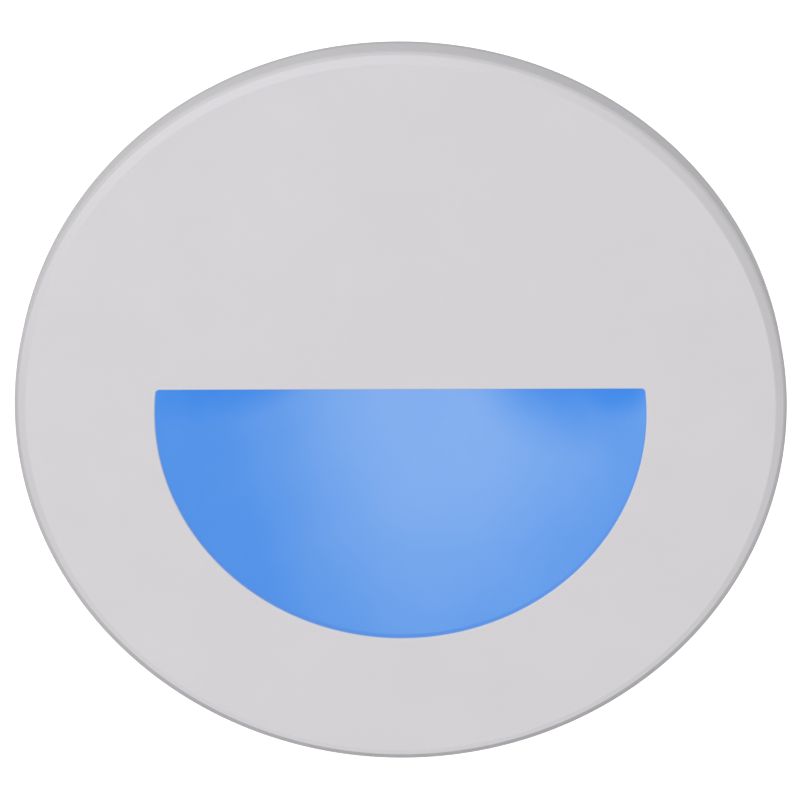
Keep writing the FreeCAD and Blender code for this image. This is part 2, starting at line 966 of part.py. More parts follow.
def make_driver_chip():
    chip = board_block(chip_x, chip_z, chip_width, chip_depth, chip_height)
    return chip.translated(BACK * (driver_board_thickness + chip_height))


# Mains terminals and earth


def terminal_places():
    middle = (terminal_ways - 1) / 2
    return [(i - middle) * terminal_pitch for i in range(terminal_ways)]


def terminal_wire_y():
    return driver_back + (terminal_depth - terminal_screw_depth) / 2


def clamp_half():
    return terminal_wire_radius + terminal_clamp_wall


def clamp_block(x, grow):
    """Metal cage of one terminal, or with grow the chamber that holds it."""
    half = clamp_half() + grow
    y = terminal_wire_y()
    half_height = terminal_clamp_height / 2 + grow
    return block(
        x - half, x + half, y - half, y + half, terminal_z - half_height, terminal_z + half_height
    )


def wire_way(x):
    start = Vector(x, terminal_wire_y(), terminal_z - terminal_height / 2)
    return Part.makeCylinder(terminal_wire_radius, terminal_wire_depth, start)


def make_terminal_block():
    half = terminal_ways * terminal_pitch / 2 + terminal_clamp_wall
    body = block(
        -half,
        half,
        driver_back,
        driver_back + terminal_depth,
        terminal_z - terminal_height / 2,
        terminal_z + terminal_height / 2,
    )
    for x in terminal_places():
        well = disc(terminal_well_radius, terminal_wire_y(), driver_back + terminal_depth, x, terminal_z)
        body = body.cut(clamp_block(x, touch_gap))
        body = body.cut(well).cut(wire_way(x))
    return body


def make_terminal_clamps():
    clamps = []
    for x in terminal_places():
        cage = clamp_block(x, 0).cut(wire_way(x))
        top = terminal_wire_y() + clamp_half()
        hole = disc(small_screw_radius + thread_gap, terminal_wire_y(), top, x, terminal_z)
        clamps.append(cage.cut(hole))
    return Part.makeCompound(clamps)


def make_terminal_screws():
    top = terminal_wire_y() + clamp_half()
    screws = [
        screw(Vector(x, top + touch_gap, terminal_z), BACK, terminal_clamp_wall + small_screw_radius)
        for x in terminal_places()
    ]
    return Part.makeCompound(screws)


def make_earth_tag():
    half = earth_tag_width / 2
    spade_half = earth_spade_width / 2
    top = earth_post_z + earth_tag_length / 2
    plate_end = earth_seat + earth_tag_thickness
    plate = block(-half, half, earth_seat, plate_end, earth_post_z - half, top)
    spade_end = earth_seat + earth_tag_length
    spade = block(-spade_half, spade_half, earth_seat, spade_end, top - earth_tag_thickness, top)
    hole = disc(small_screw_radius + hole_gap, earth_seat, plate_end, 0, earth_post_z)
    return joined([plate, spade]).cut(hole)


def make_earth_screw():
    seat = Vector(0, earth_seat + earth_tag_thickness, earth_post_z)
    return screw(seat, BACK, screw_length)


# Rear cover and cable gland


def make_rear_cover_seal():
    seal = ring(rear_radius, rear_bore, rear_rim, cover_front)
    pads = [disc(cover_post_radius, rear_rim, cover_front, x, z) for x, z in cover_screw_places()]
    seal = joined([seal] + pads)
    for x, z in cover_screw_places():
        seal = seal.cut(disc(small_screw_radius + hole_gap, rear_rim, cover_front, x, z))
    return seal


def make_rear_cover():
    cover = disc(rear_radius, cover_front, cover_back)
    cover = cover.makeChamfer(cover_edge_bevel, circles_at(cover, rear_radius, cover_back))
    for x, z in cover_screw_places():
        cover = cover.cut(disc(small_screw_radius + hole_gap, cover_front, cover_back, x, z))
    cover = cover.cut(disc(breather_stem_radius + touch_gap, cover_front, cover_back, 0, breather_z))
    return cover.cut(disc(gland_thread_radius + hole_gap, cover_front, cover_back, 0, gland_z))


def make_rear_cover_screws():
    length = cover_thickness + cover_seal_thickness + cover_screw_bite
    return Part.makeCompound(
        [screw(Vector(x, cover_back, z), BACK, length) for x, z in cover_screw_places()]
    )


def make_breather_plug():
    stem = disc(breather_stem_radius, cover_front - seat_gap, cover_back, 0, breather_z)
    cap = disc(breather_cap_radius, cover_back, cover_back + breather_cap_height, 0, breather_z)
    plug = joined([stem, cap])
    edge = circles_at(plug, breather_cap_radius, cover_back + breather_cap_height)
    return plug.makeFillet(breather_cap_round, edge)


def gland_hex_front():
    return cover_back + gland_washer_thickness


def gland_hex_back():
    return gland_hex_front() + gland_hex_thickness


def gland_seal_front():
    """The seal starts at the step inside the barrel."""
    return gland_hex_back() + gland_barrel_length + gland_seal_past_barrel - gland_seal_length


def gland_seal_back():
    return gland_seal_front() + gland_seal_length


def gland_seal_radius():
    return gland_seal_bore_radius + gland_seal_wall


def make_gland_body():
    front = cover_front - gland_locknut_thickness - seat_gap
    thread = disc(gland_thread_radius, front, gland_hex_front(), 0, gland_z)
    collar = hexagon(gland_hex_across, gland_hex_front(), gland_hex_back(), 0, gland_z)
    barrel_back = gland_hex_back() + gland_barrel_length
    barrel = disc(gland_barrel_radius, gland_hex_back(), barrel_back, 0, gland_z)
    body = joined([thread, collar, barrel])
    body = body.cut(disc(gland_bore_radius, front, barrel_back, 0, gland_z))
    pocket = disc(gland_seal_radius() + touch_gap, gland_seal_front(), barrel_back, 0, gland_z)
    return body.cut(pocket)


def make_gland_washer():
    outer = gland_hex_across / 2
    inner = gland_thread_radius + hole_gap
    return ring(outer, inner, cover_back, gland_hex_front(), 0, gland_z)


def make_gland_locknut():
    front = cover_front - gland_locknut_thickness
    nut = hexagon(gland_hex_across, front, cover_front, 0, gland_z)
    return nut.cut(disc(gland_thread_radius + thread_gap, front, cover_front, 0, gland_z))


def make_gland_seal():
    return ring(
        gland_seal_radius(), gland_seal_bore_radius, gland_seal_front(), gland_seal_back(), 0, gland_z
    )


def make_gland_nut():
    front = gland_hex_back() + side_gap
    back = gland_seal_back() + gland_nut_lip
    outer = gland_barrel_radius + gland_nut_wall
    nut = disc(outer, front, back, 0, gland_z)
    crown = [
        e
        for e in nut.Edges
        if isinstance(e.Curve, Part.Circle) and e.BoundBox.YMin > back - 1e-4
    ]
    nut = nut.makeFillet(gland_nut_round, crown)
    nut = nut.common(hexagon(2 * outer - gland_nut_flat, front, back, 0, gland_z))
    nut = nut.cut(disc(gland_barrel_radius + thread_gap, front, gland_seal_back(), 0, gland_z))
    return nut.cut(disc(gland_bore_radius, gland_seal_back(), back, 0, gland_z))


# Spring clips


def ear_outline(z_low, z_high):
    """Side plate of the clip bracket, with rounded outer corners."""
    ear = block(
        pocket_floor, pivot.x + ear_reach, pivot.y - ear_front, pivot.y + ear_back, z_low, z_high
    )
    corner = [
        e
        for e in ear.Edges
        if abs(e.tangentAt(e.FirstParameter).z) > 0.999
        and e.Vertexes[0].X > pivot.x
        and e.Vertexes[0].Y > pivot.y
    ]
    return ear.makeFillet(ear_round, corner)


def make_clip_bracket():
    inner = bracket_half_height - bracket_thickness
    base = block(
        pocket_floor,
        pocket_floor + bracket_thickness,
        bracket_front,
        bracket_back,
        -bracket_half_height,
        bracket_half_height,
    )
    outer_x = pivot.x + ear_reach
    bar_front = pivot.y - ear_front
    bar = block(
        outer_x - stop_bar_width, outer_x, bar_front, bar_front + stop_bar_depth, -inner, inner
    )
    low_ear = ear_outline(-bracket_half_height, -inner)
    high_ear = ear_outline(inner, bracket_half_height)
    bracket = joined([base, low_ear, high_ear, bar])
    pin_hole = Part.makeCylinder(
        clip_pin_radius + thread_gap, 2 * bracket_half_height, pivot - UP * bracket_half_height
    )
    bracket = bracket.cut(pin_hole)
    for y in clip_screw_depths():
        hole = Part.makeCylinder(
            small_screw_radius + hole_gap, bracket_thickness, Vector(pocket_floor, y, 0), Vector(1, 0, 0)
        )
        bracket = bracket.cut(hole)
    return bracket


def make_clip_pin():
    bottom = -bracket_half_height - clip_ring_thickness - clip_pin_tail
    top = bracket_half_height
    pin = Part.makeCylinder(clip_pin_radius, top - bottom, pivot + UP * bottom)
    head = Part.makeCylinder(clip_pin_head_radius, clip_pin_head_height, pivot + UP * top)
    pin = joined([pin, head])
    groove_start = pivot - UP * (bracket_half_height + clip_ring_thickness)
    groove = Part.makeCylinder(clip_pin_radius, clip_ring_thickness, groove_start)
    groove = groove.cut(
        Part.makeCylinder(clip_pin_radius - clip_groove_depth, clip_ring_thickness, groove_start)
    )
    return pin.cut(groove)


def make_clip_pin_ring():
    start = pivot - UP * (bracket_half_height + clip_ring_thickness)
    hole_radius = clip_pin_radius - clip_groove_depth + thread_gap
    whole = Part.makeCylinder(clip_ring_radius, clip_ring_thickness, start)
    hole = Part.makeCylinder(hole_radius, clip_ring_thickness, start)
    mouth = block(
        pivot.x,
        pivot.x + clip_ring_radius,
        pivot.y - hole_radius,
        pivot.y + hole_radius,
        start.z,
        start.z + clip_ring_thickness,
    )
    return whole.cut(hole).cut(mouth)


def arm_half_width():
    return bracket_half_height - bracket_thickness - side_gap


def strip(start, angle, length, near_half, far_half, half_thickness):
    """Flat tapered strip that leaves the start point at an angle in the level plane."""
    across = toward(angle + 90) * half_thickness
    end = start + toward(angle) * length
    low = start - across
    corners = [
        low - UP * near_half,
        end - across - UP * far_half,
        end - across + UP * far_half,
        low + UP * near_half,
        low - UP * near_half,
    ]
    return Part.Face(Part.makePolygon(corners)).extrude(across * 2)


def arm_bend():
    return pivot + toward(arm_rest_angle) * arm_blade_length


def arm_toe():
    """The last stretch of the arm, bent towards the panel."""
    half = arm_toe_width / 2
    angle = arm_rest_angle - arm_toe_bend
    return strip(arm_bend(), angle, arm_toe_length, half, half, arm_thickness / 2)


def make_clip_arm():
    half = arm_half_width()
    blade = strip(
        pivot, arm_rest_angle, arm_blade_length, half, arm_toe_width / 2, arm_thickness / 2
    )
    knee_start = arm_bend() - UP * arm_toe_width / 2
    knee = Part.makeCylinder(arm_thickness / 2, arm_toe_width, knee_start)
    eyes = Part.makeCylinder(arm_eye_radius, 2 * half, pivot - UP * half)
    arm = joined([blade, arm_toe(), knee, eyes])
    gap_half = half - arm_eye_width
    slot = strip(pivot, arm_rest_angle, arm_slot_reach, gap_half, gap_half, 2 * arm_eye_radius)
    back_slot = strip(pivot, arm_rest_angle + 180, arm_slot_reach, gap_half, gap_half, 2 * arm_eye_radius)
    arm = arm.cut(slot).cut(back_slot)
    bore = Part.makeCylinder(clip_pin_radius + pin_running_gap, 2 * half, pivot - UP * half)
    return arm.cut(bore)


def make_clip_pad():
    angle = arm_rest_angle - arm_toe_bend
    start = arm_bend() + toward(angle) * (arm_toe_length - pad_length + pad_wall)
    half = arm_toe_width / 2 + pad_wall
    pad = strip(start, angle, pad_length, half, half, arm_thickness / 2 + pad_wall)
    outer = [
        e
        for e in pad.Edges
        if abs(e.tangentAt(e.FirstParameter).z) > 0.999
        and e.CenterOfMass.sub(arm_bend()).Length > arm_toe_length
    ]
    pad = pad.makeFillet(pad_round, outer)
    return pad.cut(arm_toe())


def arc_between(start, corner, end):
    """Arc that is tangent to both lines of a symmetric corner."""
    middle = (start + end) / 2
    cosine = (start - middle).Length / (start - corner).Length
    top = middle + (corner - middle) * (cosine / (1 + cosine))
    return Part.Arc(start, top, end).toShape()


def biarc(start, start_way, end, end_way):
    """Two arcs that leave the start and reach the end along the given directions."""
    chord = end - start
    ways = start_way + end_way
    a = 2 * (start_way.dot(end_way) - 1)
    b = -2 * chord.dot(ways)
    c = chord.dot(chord)
    reach = (-b - math.sqrt(b * b - 4 * a * c)) / (2 * a)
    near = start + start_way * reach
    far = end - end_way * reach
    meet = (near + far) / 2
    return [arc_between(start, near, meet), arc_between(meet, far, end)]


def coil_sweep():
    """Degrees that the wire turns, clockwise seen from above, from one leg to the other."""
    return spring_anchor_angle - (arm_rest_angle - spring_lean + 90) + 360 * spring_turns


def coil_point(turned_by):
    angle = math.radians(spring_anchor_angle - turned_by)
    rise = spring_pitch * (turned_by - coil_sweep() / 2) / 360
    return pivot + Vector(
        spring_coil_radius * math.cos(angle), spring_coil_radius * math.sin(angle), rise
    )


def coil_way(turned_by):
    angle = math.radians(spring_anchor_angle - turned_by)
    slope = spring_pitch / (2 * math.pi * spring_coil_radius)
    return Vector(math.sin(angle), -math.cos(angle), slope).normalize()


def spring_gap():
    """Least gap between one stretch of the wire and another, measured on points of the coil."""
    step = 5
    points = [coil_point(i * step) for i in range(int(coil_sweep() // step) + 1)]
    apart = 180 // step
    pairs = [(p - q).Length for i, p in enumerate(points) for q in points[i + apart :]]
    return min(pairs) - 2 * spring_wire_radius


def make_clip_spring():
    """Torsion spring: one leg leans on the bracket's base and the other on the back of the arm."""
    steps = math.ceil(coil_sweep() / 90)
    turns = [coil_sweep() * i / steps for i in range(steps + 1)]
    first, last = coil_point(0), coil_point(coil_sweep())
    into, out = coil_way(0), coil_way(coil_sweep())
    base_face = pocket_floor + bracket_thickness + spring_wire_radius + touch_gap
    anchor = first - into * ((first.x - base_face) / into.x)
    end = last + out * spring_arm_leg
    edges = [Part.LineSegment(anchor, first).toShape()]
    for a, b in zip(turns, turns[1:]):
        edges += biarc(coil_point(a), coil_way(a), coil_point(b), coil_way(b))
    edges.append(Part.LineSegment(last, end).toShape())
    path = Part.Wire(edges)
    section = Part.Wire(Part.makeCircle(spring_wire_radius, anchor, into))
    spring = path.makePipeShell([section], True, False)
    ideal = math.pi * spring_wire_radius**2 * path.Length
    print("clip spring: least gap %.3f" % spring_gap())
    print("clip spring: volume over section times length %.4f" % (spring.Volume / ideal))
    return spring


def make_clip_screws():
    screws = []
    for y in clip_screw_depths():
        seat = Vector(pocket_floor + bracket_thickness, y, 0)
        right = screw(seat, Vector(1, 0, 0), bracket_thickness + clip_screw_bite)
        screws += [right, mirrored(right)]
    return Part.makeCompound(screws)


def make_nodes():
    nodes = {
        "faceplate": make_faceplate(),
        "faceplate_screws": make_faceplate_screws(),
        "wall_gasket": make_wall_gasket(),
        "front_seal": make_front_seal(),
        "housing_can": make_housing_can(),
        "scoop_reflector": make_scoop_reflector(),
        "lens_gasket": make_lens_gasket(),
        "lens_window": make_lens_window(),
        "lens_frame": make_lens_frame(),
        "lens_frame_screws": make_lens_frame_screws(),
        "led_board": make_led_board(),
        "led_packages": make_led_packages(),
        "led_board_screws": make_led_board_screws(),
        "thermal_pad": make_thermal_pad(),
        "led_heat_spreader": make_led_heat_spreader(),
        "spreader_screws": make_spreader_screws(),
        "link_header": make_link_header(),
        "link_pins": make_link_pins(),
        "link_sleeve": make_link_sleeve(),
        "link_socket": make_link_socket(),
        "insulating_sheet": make_insulating_sheet(),
        "driver_board": make_driver_board(),
        "driver_screws": make_driver_screws(),
        "transformer_core": make_transformer_core(),
        "transformer_coil": make_transformer_coil(),
        "bulk_capacitor": make_bulk_capacitor(),
        "film_capacitor": make_film_capacitor(),
        "bridge_rectifier": make_bridge_rectifier(),
        "fuse": make_fuse(),
        "varistor": make_varistor(),
        "driver_chip": make_driver_chip(),
        "terminal_block": make_terminal_block(),
        "terminal_clamps": make_terminal_clamps(),
        "terminal_screws": make_terminal_screws(),
        "earth_tag": make_earth_tag(),
        "earth_screw": make_earth_screw(),
        "rear_cover_seal": make_rear_cover_seal(),
        "rear_cover": make_rear_cover(),
        "rear_cover_screws": make_rear_cover_screws(),
        "breather_plug": make_breather_plug(),
        "gland_body": make_gland_body(),
        "gland_washer": make_gland_washer(),
        "gland_locknut": make_gland_locknut(),
        "gland_seal": make_gland_seal(),
        "gland_nut": make_gland_nut(),
        "clip_screws": make_clip_screws(),
    }
    ring_right = make_clip_pin_ring()
    nodes["clip_pin_rings"] = Part.makeCompound([ring_right, mirrored(ring_right)])
    for name, make in (
        ("clip_bracket", make_clip_bracket),
        ("clip_arm", make_clip_arm),
        ("clip_pin", make_clip_pin),
        ("clip_spring", make_clip_spring),
        ("clip_pad", make_clip_pad),
    ):
        right = make()
        nodes[name + "_right"] = right
        nodes[name + "_left"] = mirrored(right)
    return nodes


os.makedirs("parts", exist_ok=True)
for node, shape in make_nodes().items():
    shape.exportStep("parts/" + node + ".step")
    facts = (node, len(shape.Solids), shape.isValid(), shape.Volume)
    print("%-20s solids %d valid %s volume %.1f" % facts)
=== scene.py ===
import json
import math

import bmesh
import bpy
from mathutils import Matrix, Quaternion, Vector


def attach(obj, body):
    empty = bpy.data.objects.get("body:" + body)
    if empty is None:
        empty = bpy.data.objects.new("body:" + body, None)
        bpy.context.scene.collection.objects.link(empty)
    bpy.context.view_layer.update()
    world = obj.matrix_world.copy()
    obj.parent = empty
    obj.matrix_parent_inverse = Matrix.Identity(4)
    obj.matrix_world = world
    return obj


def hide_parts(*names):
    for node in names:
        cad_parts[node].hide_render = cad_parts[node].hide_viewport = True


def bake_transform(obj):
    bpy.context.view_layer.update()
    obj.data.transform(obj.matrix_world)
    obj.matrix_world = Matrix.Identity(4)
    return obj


# Looks of the round recessed step light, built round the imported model. Sizes are in millimetres,
# as in the part's source, and MM turns them into metres where a mesh or a material is made. Only
# the lamp, the floor and the camera's clip start are given in metres.

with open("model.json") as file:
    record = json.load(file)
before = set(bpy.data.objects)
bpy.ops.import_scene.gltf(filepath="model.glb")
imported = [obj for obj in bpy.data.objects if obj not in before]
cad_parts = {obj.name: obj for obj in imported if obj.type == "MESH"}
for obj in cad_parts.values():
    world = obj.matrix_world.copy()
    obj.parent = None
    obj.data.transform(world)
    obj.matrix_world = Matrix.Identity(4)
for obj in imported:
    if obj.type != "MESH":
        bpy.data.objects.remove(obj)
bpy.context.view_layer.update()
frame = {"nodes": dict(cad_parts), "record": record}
nodes = frame["nodes"]

# Lengths in metres
MM = 0.001
MICROMETRE = 1e-6

# Sizes that the looks share with the solids
plate_radius = 45.0
plate_front = -5.2
plate_back = -1.0
bevel_width = 1.35
bevel_depth = 0.5
edge_round = 0.4
back_round = 0.4
aperture_radius = 28.6
aperture_top = 3.6
corner_round = 0.45
lip_round = 0.2
scoop_pocket_radius = 36.1
scoop_pocket_floor = -4.2
flange_pocket_radius = 41.2
flange_pocket_floor = -2.5
body_radius = 31.9
barrel_radius = 32.75
collar_length = 8.5
body_end = 27.0
rear_cover_back = 44.2
cover_screw_circle = 23.6
gasket_inner = 33.6
gasket_outer = 43.5
gland_z = -9.0
gland_nut_front = 48.3
gland_nut_back = 56.1
gland_nut_radius = 7.8
gland_barrel_radius = 6.32
gland_seal_back = 53.8
gland_bore_radius = 4.2
breather_z = 14.0
breather_stem_front = 41.6
breather_stem_radius = 2.5
breather_cap_radius = 4.2
breather_cap_height = 2.0
pivot = Vector((28.5, 14.0, 0.0))
arm_angle = math.radians(-12.0)
toe_angle = math.radians(-22.0)
arm_blade_length = 9.3
pad_start = 1.1
pad_length = 4.6
pad_half_height = 4.3
pad_half_thickness = 1.2
spring_wire_radius = 0.25
spring_coil_radius = 1.7
spring_pitch = 0.95
spring_anchor_angle = 40.0
spring_sweep = 1408.0
spring_base_x = 26.8
spring_arm_leg = 7.0

# Camera: the angle and distance at which the photograph was taken
camera_elevation = math.radians(23.6)
camera_azimuth = math.radians(0.6)
camera_roll = math.radians(0.4)
camera_distance = 545.0
camera_rise = 2.12
camera_side = -0.04
camera_lens = 210.6
camera_sensor = 36.0
camera_clip_start = 0.01

# Light: a world that is weaker from one side, and one lamp
world_light = 0.83
weak_side = (0.96, -0.16, 0.23)
weak_share = 0.25
weak_edge = 0.70
key_place = (-0.22, -0.71, 0.09)
key_size = 0.45
key_power = 2.09

# Most of what a noise gives lies between these
NOISE_LOW = 0.3
NOISE_HIGH = 0.7


# Mesh helpers


def circle(radius, y, count, x=0.0, z=0.0):
    """Loop of points round an axis along Y, from its +X side and over its top."""
    turns = [2 * math.pi * i / count for i in range(count)]
    return [(x + radius * math.cos(a), y, z + radius * math.sin(a)) for a in turns]


def rounded(corners, closed=False):
    """Points of a path whose corners (a, b, radius, segments) are rounded by arcs."""
    points = []
    count = len(corners)
    for i, (a, b, radius, segments) in enumerate(corners):
        here = Vector((a, b))
        if radius == 0 or (not closed and i in (0, count - 1)):
            points.append((a, b))
            continue
        to_last = (Vector(corners[i - 1][:2]) - here).normalized()
        to_next = (Vector(corners[(i + 1) % count][:2]) - here).normalized()
        half = to_last.angle(to_next) / 2
        reach = radius / math.tan(half)
        centre = here + (to_last + to_next).normalized() * radius / math.sin(half)
        start = here + to_last * reach - centre
        sweep = start.angle_signed(here + to_next * reach - centre)
        for k in range(segments + 1):
            arm = start.copy()
            arm.rotate(Matrix.Rotation(-sweep * k / segments, 2))
            points.append(tuple(centre + arm))
    return points


def loft(loops, closed=True):
    """Vertices and faces of a skin over loops of equally many points, closed round each loop.

    A closed skin joins the last loop to the first, and an open one is capped at both ends."""
    count = len(loops[0])
    points = [p for loop in loops for p in loop]
    faces = []
    for i in range(len(loops) if closed else len(loops) - 1):
        a, b = i * count, (i + 1) % len(loops) * count
        for k in range(count):
            n = (k + 1) % count
            faces.append((a + k, a + n, b + n, b + k))
    if not closed:
        faces.append(tuple(range(count)))
        faces.append(tuple(range(len(points) - count, len(points))))
    return points, faces


def tube(path, radius, count):
    """Round wire along a path of points, with flat ends."""
    across = Vector((0, 0, 1)).cross(path[1] - path[0]).normalized()
    loops = []
    for i, point in enumerate(path):
        way = (path[min(i + 1, len(path) - 1)] - path[max(i - 1, 0)]).normalized()
        across = (across - way * across.dot(way)).normalized()
        over = way.cross(across)
        turns = [2 * math.pi * k / count for k in range(count)]
        loops.append([tuple(point + (across * math.cos(a) + over * math.sin(a)) * radius) for a in turns])
    return loft(loops, closed=False)


def merged(parts):
    """Several (points, faces) as one."""
    points, faces = [], []
    for some_points, some_faces in parts:
        start = len(points)
        points += some_points
        faces += [tuple(start + i for i in face) for face in some_faces]
    return points, faces


def mirrored(part):
    points, faces = part
    return [(-x, y, z) for x, y, z in points], [tuple(reversed(face)) for face in faces]


def piece(name, part, material, body, stands_for=(), sharp=32, blend=None):
    """Object from points in millimetres, which rides on a body, or stays where it is when blend is given.

    stands_for names the nodes that it replaces, and sharp is the angle above which an edge stays
    sharp. blend leaves the piece unattached; the second body and the two places in it are not used."""
    weld = 1e-8
    points, faces = part
    mesh = bpy.data.meshes.new(name)
    mesh.from_pydata([tuple(c * MM for c in p) for p in points], [], faces)
    work = bmesh.new()
    work.from_mesh(mesh)
    bmesh.ops.remove_doubles(work, verts=work.verts, dist=weld)
    bmesh.ops.recalc_face_normals(work, faces=work.faces)
    for face in work.faces:
        face.smooth = True
    work.to_mesh(mesh)
    work.free()
    mesh.set_sharp_from_angle(angle=math.radians(sharp))
    mesh.materials.append(material)
    made = bpy.data.objects.new(name, mesh)
    bpy.context.scene.collection.objects.link(made)
    if blend:
        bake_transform(made)
    else:
        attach(made, body)
    if stands_for:
        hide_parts(*stands_for)
    return made


# Material helpers


def put(tree, kind, values=(), **settings):
    """Adds a shader node: a value that is a socket is linked, and any other one is set."""
    node = tree.nodes.new("ShaderNode" + kind)
    for key, value in settings.items():
        setattr(node, key, value)
    for key, value in dict(values).items():
        if isinstance(value, bpy.types.NodeSocket):
            tree.links.new(value, node.inputs[key])
        else:
            node.inputs[key].default_value = value
    return node


def ramp(tree, value, stops):
    """Colour ramp from (position, colour) stops."""
    node = put(tree, "ValToRGB", {"Fac": value})
    elements = node.color_ramp.elements
    while len(elements) < len(stops):
        elements.new(0.5)
    for element, (position, colour) in zip(elements, stops):
        element.position = position
        element.color = (*colour, 1.0)
    return node.outputs["Color"]


def span(tree, value, low, high, to_low, to_high, smooth=True):
    """Maps a range of a value onto another one, held at both ends."""
    kind = "SMOOTHSTEP" if smooth else "LINEAR"
    values = {"Value": value, "From Min": low, "From Max": high, "To Min": to_low, "To Max": to_high}
    return put(tree, "MapRange", values, interpolation_type=kind).outputs["Result"]


def maths(tree, operation, a, b):
    return put(tree, "Math", {0: a, 1: b}, operation=operation).outputs[0]


def times(tree, a, b):
    return maths(tree, "MULTIPLY", a, b)


def mixed(tree, factor, one, other):
    """Colour between one, at factor 0, and the other, at factor 1."""
    return put(tree, "Mix", {0: factor, 6: one, 7: other}, data_type="RGBA").outputs[2]


def shader(name, **fixed):
    """New material: its tree, its Principled shader and the object's own coordinates."""
    material = bpy.data.materials.new(name)
    material.use_nodes = True
    tree = material.node_tree
    tree.nodes.clear()
    body = put(tree, "BsdfPrincipled", {key.replace("_", " "): v for key, v in fixed.items()})
    put(tree, "OutputMaterial", {"Surface": body.outputs[0]})
    coords = put(tree, "TexCoord").outputs["Object"]
    return material, tree, body, coords


def noise(tree, coords, size, detail=3.0, stretch=None):
    """Noise whose grains are about this many millimetres across."""
    if stretch:
        coords = put(tree, "Mapping", {"Vector": coords, "Scale": stretch}).outputs[0]
    values = {"Vector": coords, "Scale": 1.0 / (size * MM), "Detail": detail}
    return put(tree, "TexNoise", values).outputs["Fac"]


def shade(colour, factor):
    return tuple(min(1.0, c * factor) for c in colour)


def from_noise(tree, value, low, high):
    """Spreads a noise evenly over a range."""
    return span(tree, value, NOISE_LOW, NOISE_HIGH, low, high, smooth=False)


def grained(tree, body, height, bump, rough, gloss=None):
    """Gives a shader a relief, bump micrometres high, and a roughness that follows it or gloss."""
    follows = height if gloss is None else gloss
    tree.links.new(from_noise(tree, follows, *rough), body.inputs["Roughness"])
    relief = put(tree, "Bump", {"Height": height, "Strength": 1.0, "Distance": bump * MICROMETRE})
    tree.links.new(relief.outputs["Normal"], body.inputs["Normal"])


def worn_edges(tree, radius):
    """Factor that is 0 on even faces and rises to 1 along edges, by a radius in millimetres.

    It compares the face's normal with one that is rounded over the edges."""
    even, bent = 0.995, 0.90
    soft = put(tree, "Bevel", {"Radius": radius * MM}, samples=4).outputs[0]
    sharp = put(tree, "NewGeometry").outputs["Normal"]
    along = put(tree, "VectorMath", {0: soft, 1: sharp}, operation="DOT_PRODUCT").outputs["Value"]
    return span(tree, along, even, bent, 0.0, 1.0)


def finish(
    name, colour, rough, grain, bump, vary=0.1, patch=6.0, stretch=None, pits=None, edge=None, **fixed
):
    """Material of one stuff: its colour drifts over patches, and its grain shows in bump and gloss.

    rough is the range of roughness, grain and patch are sizes in millimetres, bump is the
    grain's height in micrometres, and vary is how far the colour drifts. stretch draws the
    grain out, pits adds cells of that size, as in foam or blasted metal, and edge is how much
    lighter the stuff is where its edges are worn."""
    patch_share, grain_share = 0.75, 0.25
    patch_detail, grain_detail = 4.0, 5.0
    wear_radius, wear_start, wear_full, least_wear = 0.25, 0.35, 0.6, 0.2
    material, tree, body, coords = shader(name, **fixed)
    drift = noise(tree, coords, patch, patch_detail, stretch)
    fine = noise(tree, coords, grain, grain_detail, stretch)
    low, high = shade(colour, 1 - vary), shade(colour, 1 + vary)
    both = maths(tree, "ADD", times(tree, drift, patch_share), times(tree, fine, grain_share))
    tint = ramp(tree, both, [(NOISE_LOW, low), (0.5, colour), (NOISE_HIGH, high)])
    if edge:
        wear_and_shade_drift = span(tree, fine, wear_start, wear_full, least_wear, 1.0)
        rubbed = times(tree, worn_edges(tree, wear_radius), wear_and_shade_drift)
        tint = mixed(tree, rubbed, tint, (*shade(colour, edge), 1.0))
    tree.links.new(tint, body.inputs["Base Color"])
    height = fine
    if pits:
        cells = put(tree, "TexVoronoi", {"Vector": coords, "Scale": 1.0 / (pits * MM)}).outputs["Distance"]
        height = maths(tree, "ADD", fine, cells)
    grained(tree, body, height, bump, rough, gloss=both)
    return material


def grey(level):
    """Linear colour of the powder coat at a level of grey."""
    return level, 0.977 * level, 1.016 * level


